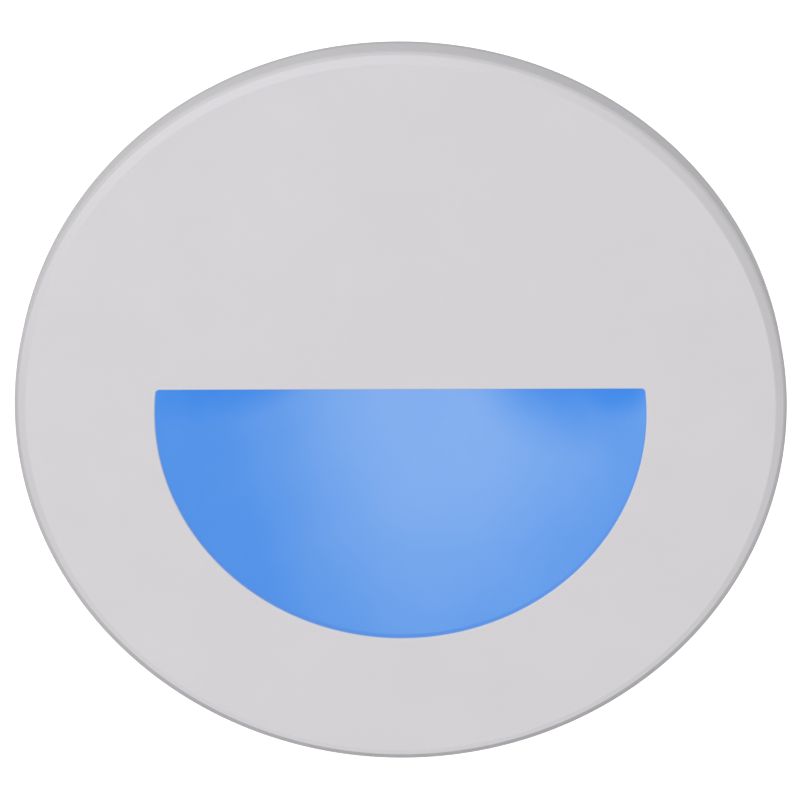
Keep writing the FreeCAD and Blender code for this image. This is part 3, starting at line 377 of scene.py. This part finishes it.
def make_powder_coat():
    """Satin powder coat: even pale grey with an orange-peel skin.

    The greys of the bevel and the rim are painted shade, set by place after the shading in the
    photograph. The wall of the aperture gives off a painted blue glow, in place of the light that
    would fall on it."""
    drift_size, grain_size, shade_drift_size = 9.0, 0.55, 1.6
    face_low, face_high = (0.652, 0.636, 0.660), (0.664, 0.649, 0.673)
    bevel_painted_shade_greys = (0.01, 0.690), (0.36, 0.620), (0.51, 0.588), (0.66, 0.594), (0.99, 0.665)
    rim_painted_shade_greys = (0.07, 0.405), (0.25, 0.472), (0.50, 0.476), (0.75, 0.540), (0.93, 0.573)
    back_edge_shade_grey, back_edge_shade_share = 0.432, 0.8
    back_edge_start, back_edge_full = plate_back - 1.4, plate_back - 0.5
    bevel_start, bevel_full = plate_radius - bevel_width - 0.10, plate_radius - bevel_width + 0.15
    bevel_lean = 0.25
    rim_start, rim_full = plate_radius - 0.50, plate_radius - 0.32
    wider_below, below_start, below_full = 0.28, 6.0, -38.0
    least_rim = 0.85
    painted_spill_base, painted_spill_light = (0.05, 0.12, 0.25, 1.0), (0.075, 0.200, 0.520, 1.0)
    wall_start, wall_full = aperture_radius + 0.20, aperture_radius + 0.09
    spill_start, spill_full = plate_front + 0.02, plate_front + 0.16
    material, tree, body, coords = shader("powder_coat", Specular_IOR_Level=0.3, Emission_Strength=1.0)
    drift = noise(tree, coords, drift_size, detail=4.0)
    fine = noise(tree, coords, grain_size, detail=5.0)
    # Noise that makes the painted shade on the rim patchy
    wear_and_shade_drift = noise(tree, coords, shade_drift_size, detail=4.0)
    place = put(tree, "SeparateXYZ", {"Vector": coords}).outputs
    flat = put(tree, "Mapping", {"Vector": coords, "Scale": (1.0, 0.0, 1.0)}).outputs[0]
    radius = put(tree, "VectorMath", {0: flat}, operation="LENGTH").outputs["Value"]
    face = ramp(tree, drift, [(NOISE_LOW, face_low), (NOISE_HIGH, face_high)])

    # Bevel: painted shade, whose grey goes round it with the height, which leans a little to the side
    leaning = maths(tree, "SUBTRACT", place["Z"], times(tree, place["X"], bevel_lean))
    reach_up = math.hypot(1.0, bevel_lean) * plate_radius * MM
    round_bevel = span(tree, leaning, -reach_up, reach_up, 0.0, 1.0, smooth=False)
    bevel = ramp(tree, round_bevel, [(at, grey(level)) for at, level in bevel_painted_shade_greys])
    on_bevel = span(tree, radius, bevel_start * MM, bevel_full * MM, 0.0, 1.0)
    front = mixed(tree, on_bevel, face, bevel)

    # Rim: painted shade, darker and a little wider below, and dark along its back edge
    height = span(tree, place["Z"], -plate_radius * MM, plate_radius * MM, 0.0, 1.0, smooth=False)
    rim = ramp(tree, height, [(at, grey(level)) for at, level in rim_painted_shade_greys])
    behind = span(tree, place["Y"], back_edge_start * MM, back_edge_full * MM, 0.0, back_edge_shade_share)
    rim = mixed(tree, behind, rim, (*grey(back_edge_shade_grey), 1.0))
    below = span(tree, place["Z"], below_start * MM, below_full * MM, 0.0, 1.0)
    reach = maths(tree, "ADD", radius, times(tree, below, wider_below * MM))
    on_rim = span(tree, reach, rim_start * MM, rim_full * MM, 0.0, 1.0)
    on_rim = times(tree, on_rim, from_noise(tree, wear_and_shade_drift, least_rim, 1.0))
    coat = mixed(tree, on_rim, front, rim)

    # Wall of the aperture: painted blue light, an emission that glows also where no lamp shines on it,
    # over a darker blue base colour
    inside = span(tree, radius, wall_start * MM, wall_full * MM, 0.0, 1.0)
    deep = span(tree, place["Y"], spill_start * MM, spill_full * MM, 0.0, 1.0)
    spill = times(tree, inside, deep)
    tree.links.new(mixed(tree, spill, coat, painted_spill_base), body.inputs["Base Color"])
    blue = mixed(tree, spill, (0.0, 0.0, 0.0, 1.0), painted_spill_light)
    tree.links.new(blue, body.inputs["Emission Color"])
    grained(tree, body, fine, bump=3.0, rough=(0.52, 0.64))
    return material


# Painted blue light in the scoop, as linear colours from the dark corners to the bright middle
GLOW_STOPS = [
    (0.0, (0.036, 0.222, 0.720)),
    (0.3, (0.078, 0.262, 0.722)),
    (0.6, (0.126, 0.312, 0.728)),
    (1.0, (0.188, 0.362, 0.738)),
]


def painted_corner_shadow(tree, coords, x, z, width, height, softness):
    """Painted shadow under the plate's lip: a factor that falls from 1 to nearly 0 towards a point (x, z).
    """
    wide, high = 1 / (width * MM), 1 / (height * MM)
    values = {"Vector": coords, "Location": (-x / width, 0, -z / height), "Scale": (wide, 0, high)}
    place = put(tree, "Mapping", values).outputs[0]
    near = put(tree, "TexGradient", {"Vector": place}, gradient_type="SPHERICAL").outputs["Fac"]
    darkest = 0.03
    return span(tree, near, 0.0, softness, 1.0, darkest)


def make_glow():
    """Smooth bowl with a painted blue glow: it gives off the blue light itself, set by place after the
    photograph.

    The painted light is bright in the middle and dark in the corners. It falls to a level at the left
    and the right, along lines that lean with the height, and it fades downwards. The bowl's base
    colour is dark, a little lighter where the painted light is bright, so that other light adds little to
    it."""
    left_lean, left_end, left_start, left_level = 0.18, -24.3, -1.4, 0.27
    right_lean, right_start, right_end, right_level = 0.44, 13.2, 39.9, 0.30
    low_end, low_start = -55.1, -8.8
    cloud_size, cloud_share = 7.0, 0.04
    grain_size = 0.5
    painted_shade_base, painted_lit_base = (0.014, 0.030, 0.070), (0.020, 0.045, 0.090)
    material, tree, body, coords = shader("lit_scoop", Specular_IOR_Level=0.3, Emission_Strength=1.0)
    place = put(tree, "SeparateXYZ", {"Vector": coords})
    x, z = place.outputs["X"], place.outputs["Z"]
    from_left = maths(tree, "ADD", x, times(tree, z, left_lean))
    from_right = maths(tree, "SUBTRACT", x, times(tree, z, right_lean))
    level = span(tree, from_left, left_end * MM, left_start * MM, left_level, 1.0)
    level = times(tree, level, span(tree, from_right, right_start * MM, right_end * MM, 1.0, right_level))
    level = times(tree, level, span(tree, z, low_end * MM, low_start * MM, 0.0, 1.0))
    # Painted shadows in the corners under the lip
    for corner in (
        painted_corner_shadow(tree, coords, x=-18.6, z=4.0, width=13.1, height=10.4, softness=0.54),
        painted_corner_shadow(tree, coords, x=17.9, z=1.7, width=13.0, height=13.2, softness=0.86),
        painted_corner_shadow(tree, coords, x=24.0, z=6.0, width=6.2, height=9.9, softness=0.36),
    ):
        level = times(tree, level, corner)
    cloud = noise(tree, coords, cloud_size, detail=2.0)
    level = maths(tree, "ADD", level, from_noise(tree, cloud, -cloud_share, cloud_share))
    tree.links.new(ramp(tree, level, GLOW_STOPS), body.inputs["Emission Color"])
    # Base colour: lit and shaded copies that follow the painted light
    tint = ramp(tree, level, [(0.0, painted_shade_base), (1.0, painted_lit_base)])
    tree.links.new(tint, body.inputs["Base Color"])
    grained(tree, body, noise(tree, coords, grain_size), bump=1.0, rough=(0.52, 0.62))
    return material


def make_lit(name, colour, rim, strength, rough):
    """Frosted stuff that is lit from inside, whose light drifts with its grain."""
    unlit, grain_size = 0.25, 0.25
    material, tree, body, coords = shader(name, Emission_Strength=strength)
    grain = noise(tree, coords, grain_size, detail=4.0)
    pale = ramp(tree, grain, [(NOISE_LOW, shade(rim, unlit)), (NOISE_HIGH, shade(colour, unlit))])
    tree.links.new(pale, body.inputs["Base Color"])
    lit = ramp(tree, grain, [(NOISE_LOW, rim), (NOISE_HIGH, colour)])
    tree.links.new(lit, body.inputs["Emission Color"])
    grained(tree, body, grain, bump=2.0, rough=rough)
    return material


MATERIALS = {
    "powder_coat": make_powder_coat(),
    "reflector": make_glow(),
    "cast_metal": finish(
        "cast_metal", (0.335, 0.340, 0.350), rough=(0.38, 0.60), grain=0.30, bump=22.0,
        vary=0.14, patch=3.5, pits=0.7, edge=1.6, Metallic=0.85,
    ),
    "black_rubber": finish(
        "black_rubber", (0.022, 0.022, 0.024), rough=(0.62, 0.82), grain=0.16, bump=6.0,
        vary=0.18, patch=3.0,
    ),
    "foam": finish(
        "gasket_foam", (0.030, 0.030, 0.033), rough=(0.78, 0.95), grain=0.30, bump=10.0,
        vary=0.25, patch=2.0, pits=0.35,
    ),
    "silicone": finish(
        "silicone", (0.50, 0.51, 0.52), rough=(0.45, 0.60), grain=0.3, bump=3.0,
        vary=0.06, Subsurface_Weight=0.15,
    ),
    "frosted_lens": make_lit(
        "frosted_lens", (0.36, 0.60, 0.96), rim=(0.30, 0.53, 0.93), strength=1.0, rough=(0.4, 0.6)
    ),
    "led": make_lit(
        "led_dome", (0.55, 0.76, 1.0), rim=(0.40, 0.66, 1.0), strength=4.0, rough=(0.2, 0.3)
    ),
    "black_plastic": finish(
        "black_plastic", (0.026, 0.026, 0.028), rough=(0.34, 0.50), grain=0.25, bump=8.0,
        vary=0.15, patch=4.0, edge=2.4,
    ),
    "steel": finish(
        "zinc_steel", (0.56, 0.57, 0.58), rough=(0.26, 0.42), grain=0.10, bump=1.5,
        vary=0.10, patch=1.4, Metallic=1.0,
    ),
    "spring_steel": finish(
        "spring_steel", (0.47, 0.475, 0.485), rough=(0.22, 0.38), grain=0.06, bump=1.2,
        vary=0.08, patch=1.0, stretch=(1.0, 1.0, 0.06), Metallic=1.0,
    ),
    "board_white": finish(
        "board_white", (0.80, 0.80, 0.78), rough=(0.30, 0.42), grain=0.4, bump=2.0, vary=0.04
    ),
    "thermal_pad": finish(
        "thermal_pad", (0.22, 0.33, 0.50), rough=(0.6, 0.8), grain=0.2, bump=6.0, vary=0.08
    ),
    "spreader": finish(
        "spreader_sheet", (0.72, 0.73, 0.74), rough=(0.28, 0.45), grain=0.05, bump=1.2,
        vary=0.06, patch=1.0, stretch=(0.05, 1.0, 1.0), Metallic=1.0,
    ),
    "contact_brass": finish(
        "contact_brass", (0.70, 0.50, 0.20), rough=(0.22, 0.40), grain=0.12, bump=1.5,
        vary=0.10, patch=1.5, Metallic=1.0,
    ),
    "board_green": finish(
        "board_green", (0.020, 0.12, 0.050), rough=(0.25, 0.40), grain=0.5, bump=8.0,
        vary=0.20, patch=1.6,
    ),
    "ferrite": finish(
        "ferrite", (0.030, 0.030, 0.034), rough=(0.45, 0.65), grain=0.15, bump=5.0, vary=0.2
    ),
    "winding": finish(
        "winding_tape", (0.62, 0.42, 0.05), rough=(0.35, 0.5), grain=0.3, bump=6.0,
        vary=0.12, stretch=(0.2, 0.2, 1.0),
    ),
    "capacitor": finish(
        "capacitor_sleeve", (0.020, 0.024, 0.050), rough=(0.25, 0.35), grain=0.4, bump=2.0, vary=0.1
    ),
    "film_red": finish(
        "film_case", (0.34, 0.030, 0.022), rough=(0.3, 0.42), grain=0.3, bump=3.0, vary=0.1
    ),
    "fuse_glass": finish(
        "fuse_tube", (0.70, 0.66, 0.58), rough=(0.3, 0.45), grain=0.3, bump=2.0, vary=0.08
    ),
    "varistor_blue": finish(
        "varistor_dip", (0.030, 0.09, 0.36), rough=(0.25, 0.4), grain=0.5, bump=8.0, vary=0.12
    ),
    "terminal_white": finish(
        "terminal_case", (0.62, 0.60, 0.54), rough=(0.35, 0.5), grain=0.2, bump=4.0, vary=0.06
    ),
    "insulating_film": finish(
        "insulating_film", (0.60, 0.54, 0.38), rough=(0.3, 0.45), grain=0.6, bump=5.0, vary=0.08
    ),
}

for entry in frame["record"]["subparts"]:
    for holder in nodes[entry["node"]].material_slots:
        holder.material = MATERIALS[entry["material_slot"]]


# Front plate


def half_moon(grow, spread):
    """Outline (x, z) of the aperture, moved outwards by grow, with (line, corner, arc) points."""
    line_count, corner_count, arc_count = spread
    reach = aperture_radius - corner_round
    mid_z = aperture_top - corner_round
    mid_x = math.sqrt(reach**2 - mid_z**2)
    meet = math.atan2(mid_z, mid_x)
    outline = []
    for k in range(line_count):
        outline.append((-mid_x + 2 * mid_x * k / line_count, aperture_top + grow))
    for k in range(corner_count):
        a = math.pi / 2 - (math.pi / 2 - meet) * k / corner_count
        radius = corner_round + grow
        outline.append((mid_x + radius * math.cos(a), mid_z + radius * math.sin(a)))
    for k in range(arc_count):
        a = meet - (math.pi + 2 * meet) * k / arc_count
        radius = aperture_radius + grow
        outline.append((radius * math.cos(a), radius * math.sin(a)))
    for k in range(corner_count):
        a = math.pi - meet - (math.pi / 2 - meet) * k / corner_count
        radius = corner_round + grow
        outline.append((-mid_x + radius * math.cos(a), mid_z + radius * math.sin(a)))
    return outline


def make_faceplate():
    """Shell of the plate: its lip, its bevelled rim and the pockets behind, over the same spokes."""
    spread = (150, 14, 230)
    hub_z = -11.0
    lip_steps, edge_steps, back_steps = 6, 8, 6
    seam = 0.04
    ways = []
    for x, z in half_moon(0, spread):
        length = math.hypot(x, z - hub_z)
        ways.append((x / length, (z - hub_z) / length))

    def lip(grow, y):
        return [(x, y, z) for x, z in half_moon(grow, spread)]

    def rim(radius, y):
        """Circle whose points lie on the spokes from the hub through the aperture's outline."""
        loop = []
        for a, b in ways:
            t = -hub_z * b + math.sqrt((hub_z * b) ** 2 - hub_z**2 + radius**2)
            loop.append((a * t, y, hub_z + b * t))
        return loop

    loops = [lip(0, scoop_pocket_floor)]
    for k in range(lip_steps + 1):
        a = math.pi / 2 * k / lip_steps
        loops.append(lip(lip_round * (1 - math.cos(a)), plate_front + lip_round * (1 - math.sin(a))))
    loops.append(lip(lip_round + seam, plate_front))
    outside = rounded(
        [
            (0.0, plate_front, 0, 0),
            (plate_radius - bevel_width, plate_front, edge_round, edge_steps),
            (plate_radius, plate_front + bevel_depth, edge_round, edge_steps),
            (plate_radius, plate_back, back_round, back_steps),
            (flange_pocket_radius, plate_back, 0, 0),
        ]
    )[1:]
    bevel_start = outside[0][0] - seam
    loops.append(rim(bevel_start, plate_front))
    loops += [rim(r, y) for r, y in outside]
    loops.append(rim(flange_pocket_radius, flange_pocket_floor))
    loops.append(rim(scoop_pocket_radius, flange_pocket_floor))
    loops.append(rim(scoop_pocket_radius, scoop_pocket_floor))
    piece(
        "faceplate_shell", loft(loops), MATERIALS["powder_coat"], "light_body", ["faceplate"]
    )


# Housing, rear cover and gland


def fluted(radius, depth, count, y, z):
    """Circle with as many shallow flutes as count, sunk by depth between broad ribs."""
    steps = 16
    flute_level, flute_slope = 0.5, 1.4
    loop = []
    for i in range(count * steps):
        a = 2 * math.pi * i / (count * steps)
        sink = min(max(flute_level - flute_slope * math.cos(count * a), 0.0), 1.0)
        r = radius - depth * sink
        loop.append((r * math.cos(a), y, z + r * math.sin(a)))
    return loop


def make_housing_ribs():
    """Cast ribs along the barrel above and below, which keep it centred in the hole."""
    front, back = collar_length + 0.6, body_end - 0.5
    foot, top = body_radius - 0.3, barrel_radius - 0.15
    ribs_each_way, degrees_apart = 5, 12.0
    foot_half, top_half, top_round, round_steps = 1.0, 0.62, 0.3, 4
    end_rise = (0.0, 0.1), (0.5, 0.75), (1.2, 1.0)
    runs = [(front + way, height) for way, height in end_rise]
    runs += [(back - way, height) for way, height in reversed(end_rise)]
    section = rounded(
        [
            (-foot_half, 0.0, 0, 0), (-top_half, 1.0, top_round, round_steps),
            (top_half, 1.0, top_round, round_steps), (foot_half, 0.0, 0, 0),
        ]
    )
    ribs = []
    for side in (90, -90):
        for step in range(-ribs_each_way, ribs_each_way + 1):
            middle = math.radians(side + degrees_apart * step)
            loops = []
            for y, height in runs:
                loop = []
                for across, share in section:
                    r = foot + (top - foot) * height * share
                    a = middle + across / body_radius
                    loop.append((r * math.cos(a), y, r * math.sin(a)))
                loops.append(loop)
            ribs.append(loft(loops, closed=False))
    piece("housing_ribs", merged(ribs), MATERIALS["cast_metal"], "light_body")


def make_cover_relief():
    """Raised ring on the rear cover and a low rim round each of its screws."""
    ring_radius, ring_half, ring_height = 20.0, 0.6, 0.55
    rim_radius, rim_half, rim_height = 2.15, 0.35, 0.3
    ring_sides, rim_sides = 160, 40
    sunk, steps = 0.1, 8
    reach = cover_screw_circle * math.sqrt(0.5)
    rings = [(ring_radius, ring_half, ring_height, 0.0, 0.0, ring_sides)]
    for x in (-reach, reach):
        rings += [(rim_radius, rim_half, rim_height, x, z, rim_sides) for z in (-reach, reach)]
    parts = []
    for radius, half, height, x, z, count in rings:
        loops = []
        for k in range(steps + 1):
            a = math.pi * k / steps
            y = rear_cover_back - sunk + (height + sunk) * math.sin(a)
            loops.append(circle(radius + half * math.cos(a), y, count, x, z))
        parts.append(loft(loops))
    piece("cover_relief", merged(parts), MATERIALS["cast_metal"], "light_body")


def make_gland_nut():
    """Sealing nut of the cable gland: broad grip ribs, a domed end and the bore for the lead."""
    r, front, back = gland_nut_radius, gland_nut_front, gland_nut_back
    front_edge = (0.5, 0.0), (0.1, 0.2), (0.0, 0.6)
    flutes, flute_depth = 12, 0.45
    grip_front, grip_back, grip_end = front + 1.0, back - 2.9, back - 2.2
    dome, dome_steps = 2.0, 8
    face_radius, mouth_radius, mouth_edge, mouth_depth = 5.0, 4.5, 0.1, 0.4
    rows = [(r - inwards, front + along, 0.0) for inwards, along in front_edge]
    rows += [(r, grip_front, flute_depth), (r, grip_back, flute_depth), (r, grip_end, 0.0)]
    for k in range(1, dome_steps + 1):
        a = math.pi / 2 * k / dome_steps
        rows.append((r - dome * (1 - math.cos(a)), back - dome * (1 - math.sin(a)), 0.0))
    rows += [(face_radius, back, 0.0), (mouth_radius, back - mouth_edge, 0.0)]
    rows += [(gland_bore_radius, back - mouth_depth, 0.0), (gland_bore_radius, gland_seal_back, 0.0)]
    rows += [(gland_barrel_radius, gland_seal_back, 0.0), (gland_barrel_radius, front, 0.0)]
    loops = [fluted(radius, depth, flutes, y, gland_z) for radius, y, depth in rows]
    piece(
        "gland_nut_grip", loft(loops), MATERIALS["black_plastic"], "light_body",
        ["gland_nut"],
    )


def make_breather():
    """Vent plug with a fluted cap and a dished top."""
    r, base, stem = breather_cap_radius, rear_cover_back, breather_stem_radius
    top = base + breather_cap_height
    flutes, flute_depth = 8, 0.4
    flutes_start, flutes_end = base + 0.5, top - 0.7
    base_edge = 0.3
    top_edge = (0.1, 0.4, flute_depth / 2), (0.3, 0.1, 0.0), (0.6, 0.0, 0.0)
    dish_radius, dish_floor_radius, dish_middle = 2.9, 2.4, 0.6
    dish_edge, dish_edge_depth, dish_floor = 0.3, 0.15, top - 0.4
    rows = [(stem, breather_stem_front, 0.0), (stem, base, 0.0)]
    rows += [(r - base_edge, base, 0.0), (r, base + base_edge, 0.0)]
    rows += [(r, flutes_start, flute_depth), (r, flutes_end, flute_depth)]
    rows += [(r - inwards, top - down, depth) for inwards, down, depth in top_edge]
    rows += [(dish_radius, top, 0.0), (dish_radius - dish_edge, top - dish_edge_depth, 0.0)]
    rows += [(dish_floor_radius, dish_floor, 0.0), (dish_middle, dish_floor, 0.0)]
    loops = [fluted(radius, depth, flutes, y, breather_z) for radius, y, depth in rows]
    piece(
        "breather_cap", loft(loops, closed=False), MATERIALS["black_plastic"],
        "light_body", ["breather_plug"],
    )


def make_wall_gasket():
    """Foam ring with soft edges and two grooves in the side that meets the wall."""
    front_round, wall_round, inner_round = 0.15, 0.35, 0.2
    groove_radii = 40.6, 37.0
    groove_depth, groove_mouth, groove_floor, groove_round = 0.3, 0.9, 0.5, 0.15
    sides = 200
    outline = [
        (gasket_inner, plate_back, 0, 0), (gasket_outer, plate_back, front_round, 3),
        (gasket_outer, 0.0, wall_round, 4),
    ]
    for middle in groove_radii:
        for across, y in (
            (groove_mouth, 0.0), (groove_floor, -groove_depth), (-groove_floor, -groove_depth),
            (-groove_mouth, 0.0),
        ):
            outline.append((middle + across, y, groove_round, 3))
    outline.append((gasket_inner, 0.0, inner_round, 3))
    loops = [circle(r, y, sides) for r, y in rounded(outline, closed=True)]
    piece("wall_gasket_foam", loft(loops), MATERIALS["foam"], "light_body", ["wall_gasket"])


# Spring clips


def coil_point(turned_by):
    """Point of the right spring's coil, by the degrees from its lower end."""
    angle = math.radians(spring_anchor_angle - turned_by)
    rise = spring_pitch * (turned_by - spring_sweep / 2) / 360
    across = Vector((math.cos(angle), math.sin(angle), 0.0)) * spring_coil_radius
    return pivot + across + Vector((0.0, 0.0, rise))


def make_springs():
    """Wound springs: the lower leg leans on the bracket and the upper one on the arm."""
    step = 8.0
    lower_steps, upper_steps, wire_sides = 4, 6, 12
    coil = [coil_point(step * i) for i in range(int(spring_sweep // step) + 1)]
    into, out = coil[1] - coil[0], (coil[-1] - coil[-2]).normalized()
    reach = (coil[0].x - spring_base_x) / into.x
    path = [coil[0] - into * reach * (lower_steps - k) / lower_steps for k in range(lower_steps)] + coil
    path += [coil[-1] + out * spring_arm_leg * k / upper_steps for k in range(1, upper_steps + 1)]
    wire = tube(path, spring_wire_radius, wire_sides)
    half = spring_pitch * spring_sweep / 720
    for side, part in (("right", wire), ("left", mirrored(wire))):
        x = pivot.x if side == "right" else -pivot.x
        start, end = [Vector((x, pivot.y, z)) * MM for z in (-half, half)]
        piece(
            "wound_spring_" + side, part, MATERIALS["spring_steel"], "light_body",
            ["clip_spring_" + side], sharp=50, blend=("clip_" + side, start, end),
        )


def make_pads():
    """Rubber shoes with ribs across the side that grips the panel."""
    root_round, toe_round, cut_round = 0.15, 0.6, 0.08
    cut_places = 3.4, 2.35, 1.3
    cut_depth, cut_mouth, cut_floor = 0.3, 0.28, 0.12
    end_taper = (0.94, 1.0), (0.985, 0.95), (1.0, 0.88)
    along = Vector((math.cos(toe_angle), math.sin(toe_angle), 0.0))
    away = Vector((-math.sin(toe_angle), math.cos(toe_angle), 0.0))
    bend = pivot + Vector((math.cos(arm_angle), math.sin(arm_angle), 0.0)) * arm_blade_length
    thick = pad_half_thickness
    outline = [
        (0.0, thick, root_round, 3), (pad_length, thick, toe_round, 5),
        (pad_length, -thick, toe_round, 5),
    ]
    for middle in cut_places:
        for across, depth in (
            (cut_mouth, 0.0), (cut_floor, cut_depth), (-cut_floor, cut_depth), (-cut_mouth, 0.0)
        ):
            outline.append((middle + across, depth - thick, cut_round, 2))
    outline.append((0.0, -thick, root_round, 3))
    shape = rounded(outline, closed=True)
    middle = pad_length / 2
    loops = []
    for z, shrink in [(-z, shrink) for z, shrink in reversed(end_taper)] + list(end_taper):
        loop = []
        for u, v in shape:
            place = bend + along * (pad_start + middle + (u - middle) * shrink) + away * v * shrink
            loop.append((place.x, place.y, z * pad_half_height))
        loops.append(loop)
    pad = loft(loops, closed=False)
    for side, part in (("right", pad), ("left", mirrored(pad))):
        piece(
            "ribbed_pad_" + side, part, MATERIALS["black_rubber"], "clip_" + side,
            ["clip_pad_" + side],
        )


make_faceplate()
make_housing_ribs()
make_cover_relief()
make_gland_nut()
make_breather()
make_wall_gasket()
make_springs()
make_pads()


# Floor, light and camera


def seen_rays(tree):
    """1 for rays from the camera, from reflections and through glass, and 0 for the light itself."""
    rays = put(tree, "LightPath").outputs
    seen = maths(tree, "MAXIMUM", rays["Is Camera Ray"], rays["Is Glossy Ray"])
    return maths(tree, "MAXIMUM", seen, rays["Is Transmission Ray"])


def make_floor():
    """Plain pale floor far below, which the camera sees as white apart from the shadows on it."""
    half, drop = 6.0, -0.9
    grain_size = 400.0
    low_grey, high_grey = (0.59, 0.59, 0.59), (0.62, 0.62, 0.62)
    added_white = 0.7
    material, tree, body, coords = shader(
        "studio_floor", Roughness=0.9, Emission_Color=(1.0, 1.0, 1.0, 1.0)
    )
    grain = noise(tree, coords, grain_size, 2.0)
    pale = ramp(tree, grain, [(NOISE_LOW, low_grey), (NOISE_HIGH, high_grey)])
    tree.links.new(pale, body.inputs["Base Color"])
    tree.links.new(times(tree, seen_rays(tree), added_white), body.inputs["Emission Strength"])
    mesh = bpy.data.meshes.new("studio_floor")
    corners = [(-half, -half, drop), (half, -half, drop), (half, half, drop), (-half, half, drop)]
    mesh.from_pydata(corners, [], [(0, 1, 2, 3)])
    mesh.materials.append(material)
    made = bpy.data.objects.new("studio_floor", mesh)
    bpy.context.scene.collection.objects.link(made)


def make_world():
    """Soft studio light, weaker from the right, which the camera and reflections see as white."""
    world = bpy.data.worlds.new("studio")
    world.use_nodes = True
    tree = world.node_tree
    tree.nodes.clear()
    way = put(tree, "TexCoord").outputs["Generated"]
    toward = put(tree, "VectorMath", {0: way, 1: weak_side}, operation="DOT_PRODUCT").outputs["Value"]
    light = span(tree, toward, weak_edge, 1.0, world_light, weak_share * world_light)
    level = maths(tree, "MAXIMUM", seen_rays(tree), light)
    background = put(tree, "Background", {"Color": (1.0, 1.0, 1.0, 1.0), "Strength": level})
    put(tree, "OutputWorld", {"Surface": background.outputs[0]})
    bpy.context.scene.world = world


def add_lamp(name, place, size, power):
    """Square area lamp that faces the middle of the plate."""
    lamp = bpy.data.lights.new(name, "AREA")
    lamp.shape = "SQUARE"
    lamp.size = size
    lamp.energy = power
    holder = bpy.data.objects.new(name, lamp)
    holder.location = place
    holder.rotation_euler = (-Vector(place)).to_track_quat("-Z", "Y").to_euler()
    bpy.context.scene.collection.objects.link(holder)


def make_camera():
    """Camera at the photograph's angle, aimed a little above the middle of the plate's face."""
    camera = bpy.data.cameras.new("camera")
    camera.sensor_width = camera_sensor
    camera.lens = camera_lens
    camera.clip_start = camera_clip_start
    holder = bpy.data.objects.new("camera", camera)
    turn = Matrix.Rotation(camera_azimuth, 3, "Z")
    back = turn @ Vector((0.0, -math.cos(camera_elevation), math.sin(camera_elevation)))
    up = turn @ Vector((0.0, math.sin(camera_elevation), math.cos(camera_elevation)))
    right = turn @ Vector((1.0, 0.0, 0.0))
    aim = Vector((0.0, plate_front, 0.0)) + up * camera_rise + right * camera_side
    holder.location = (aim + back * camera_distance) * MM
    look = (-back).to_track_quat("-Z", "Y") @ Quaternion((0.0, 0.0, 1.0), -camera_roll)
    holder.rotation_euler = look.to_euler()
    bpy.context.scene.collection.objects.link(holder)
    bpy.context.scene.camera = holder


make_floor()
make_world()
add_lamp("key", key_place, key_size, key_power)
make_camera()
bpy.context.scene.view_settings.view_transform = "Standard"
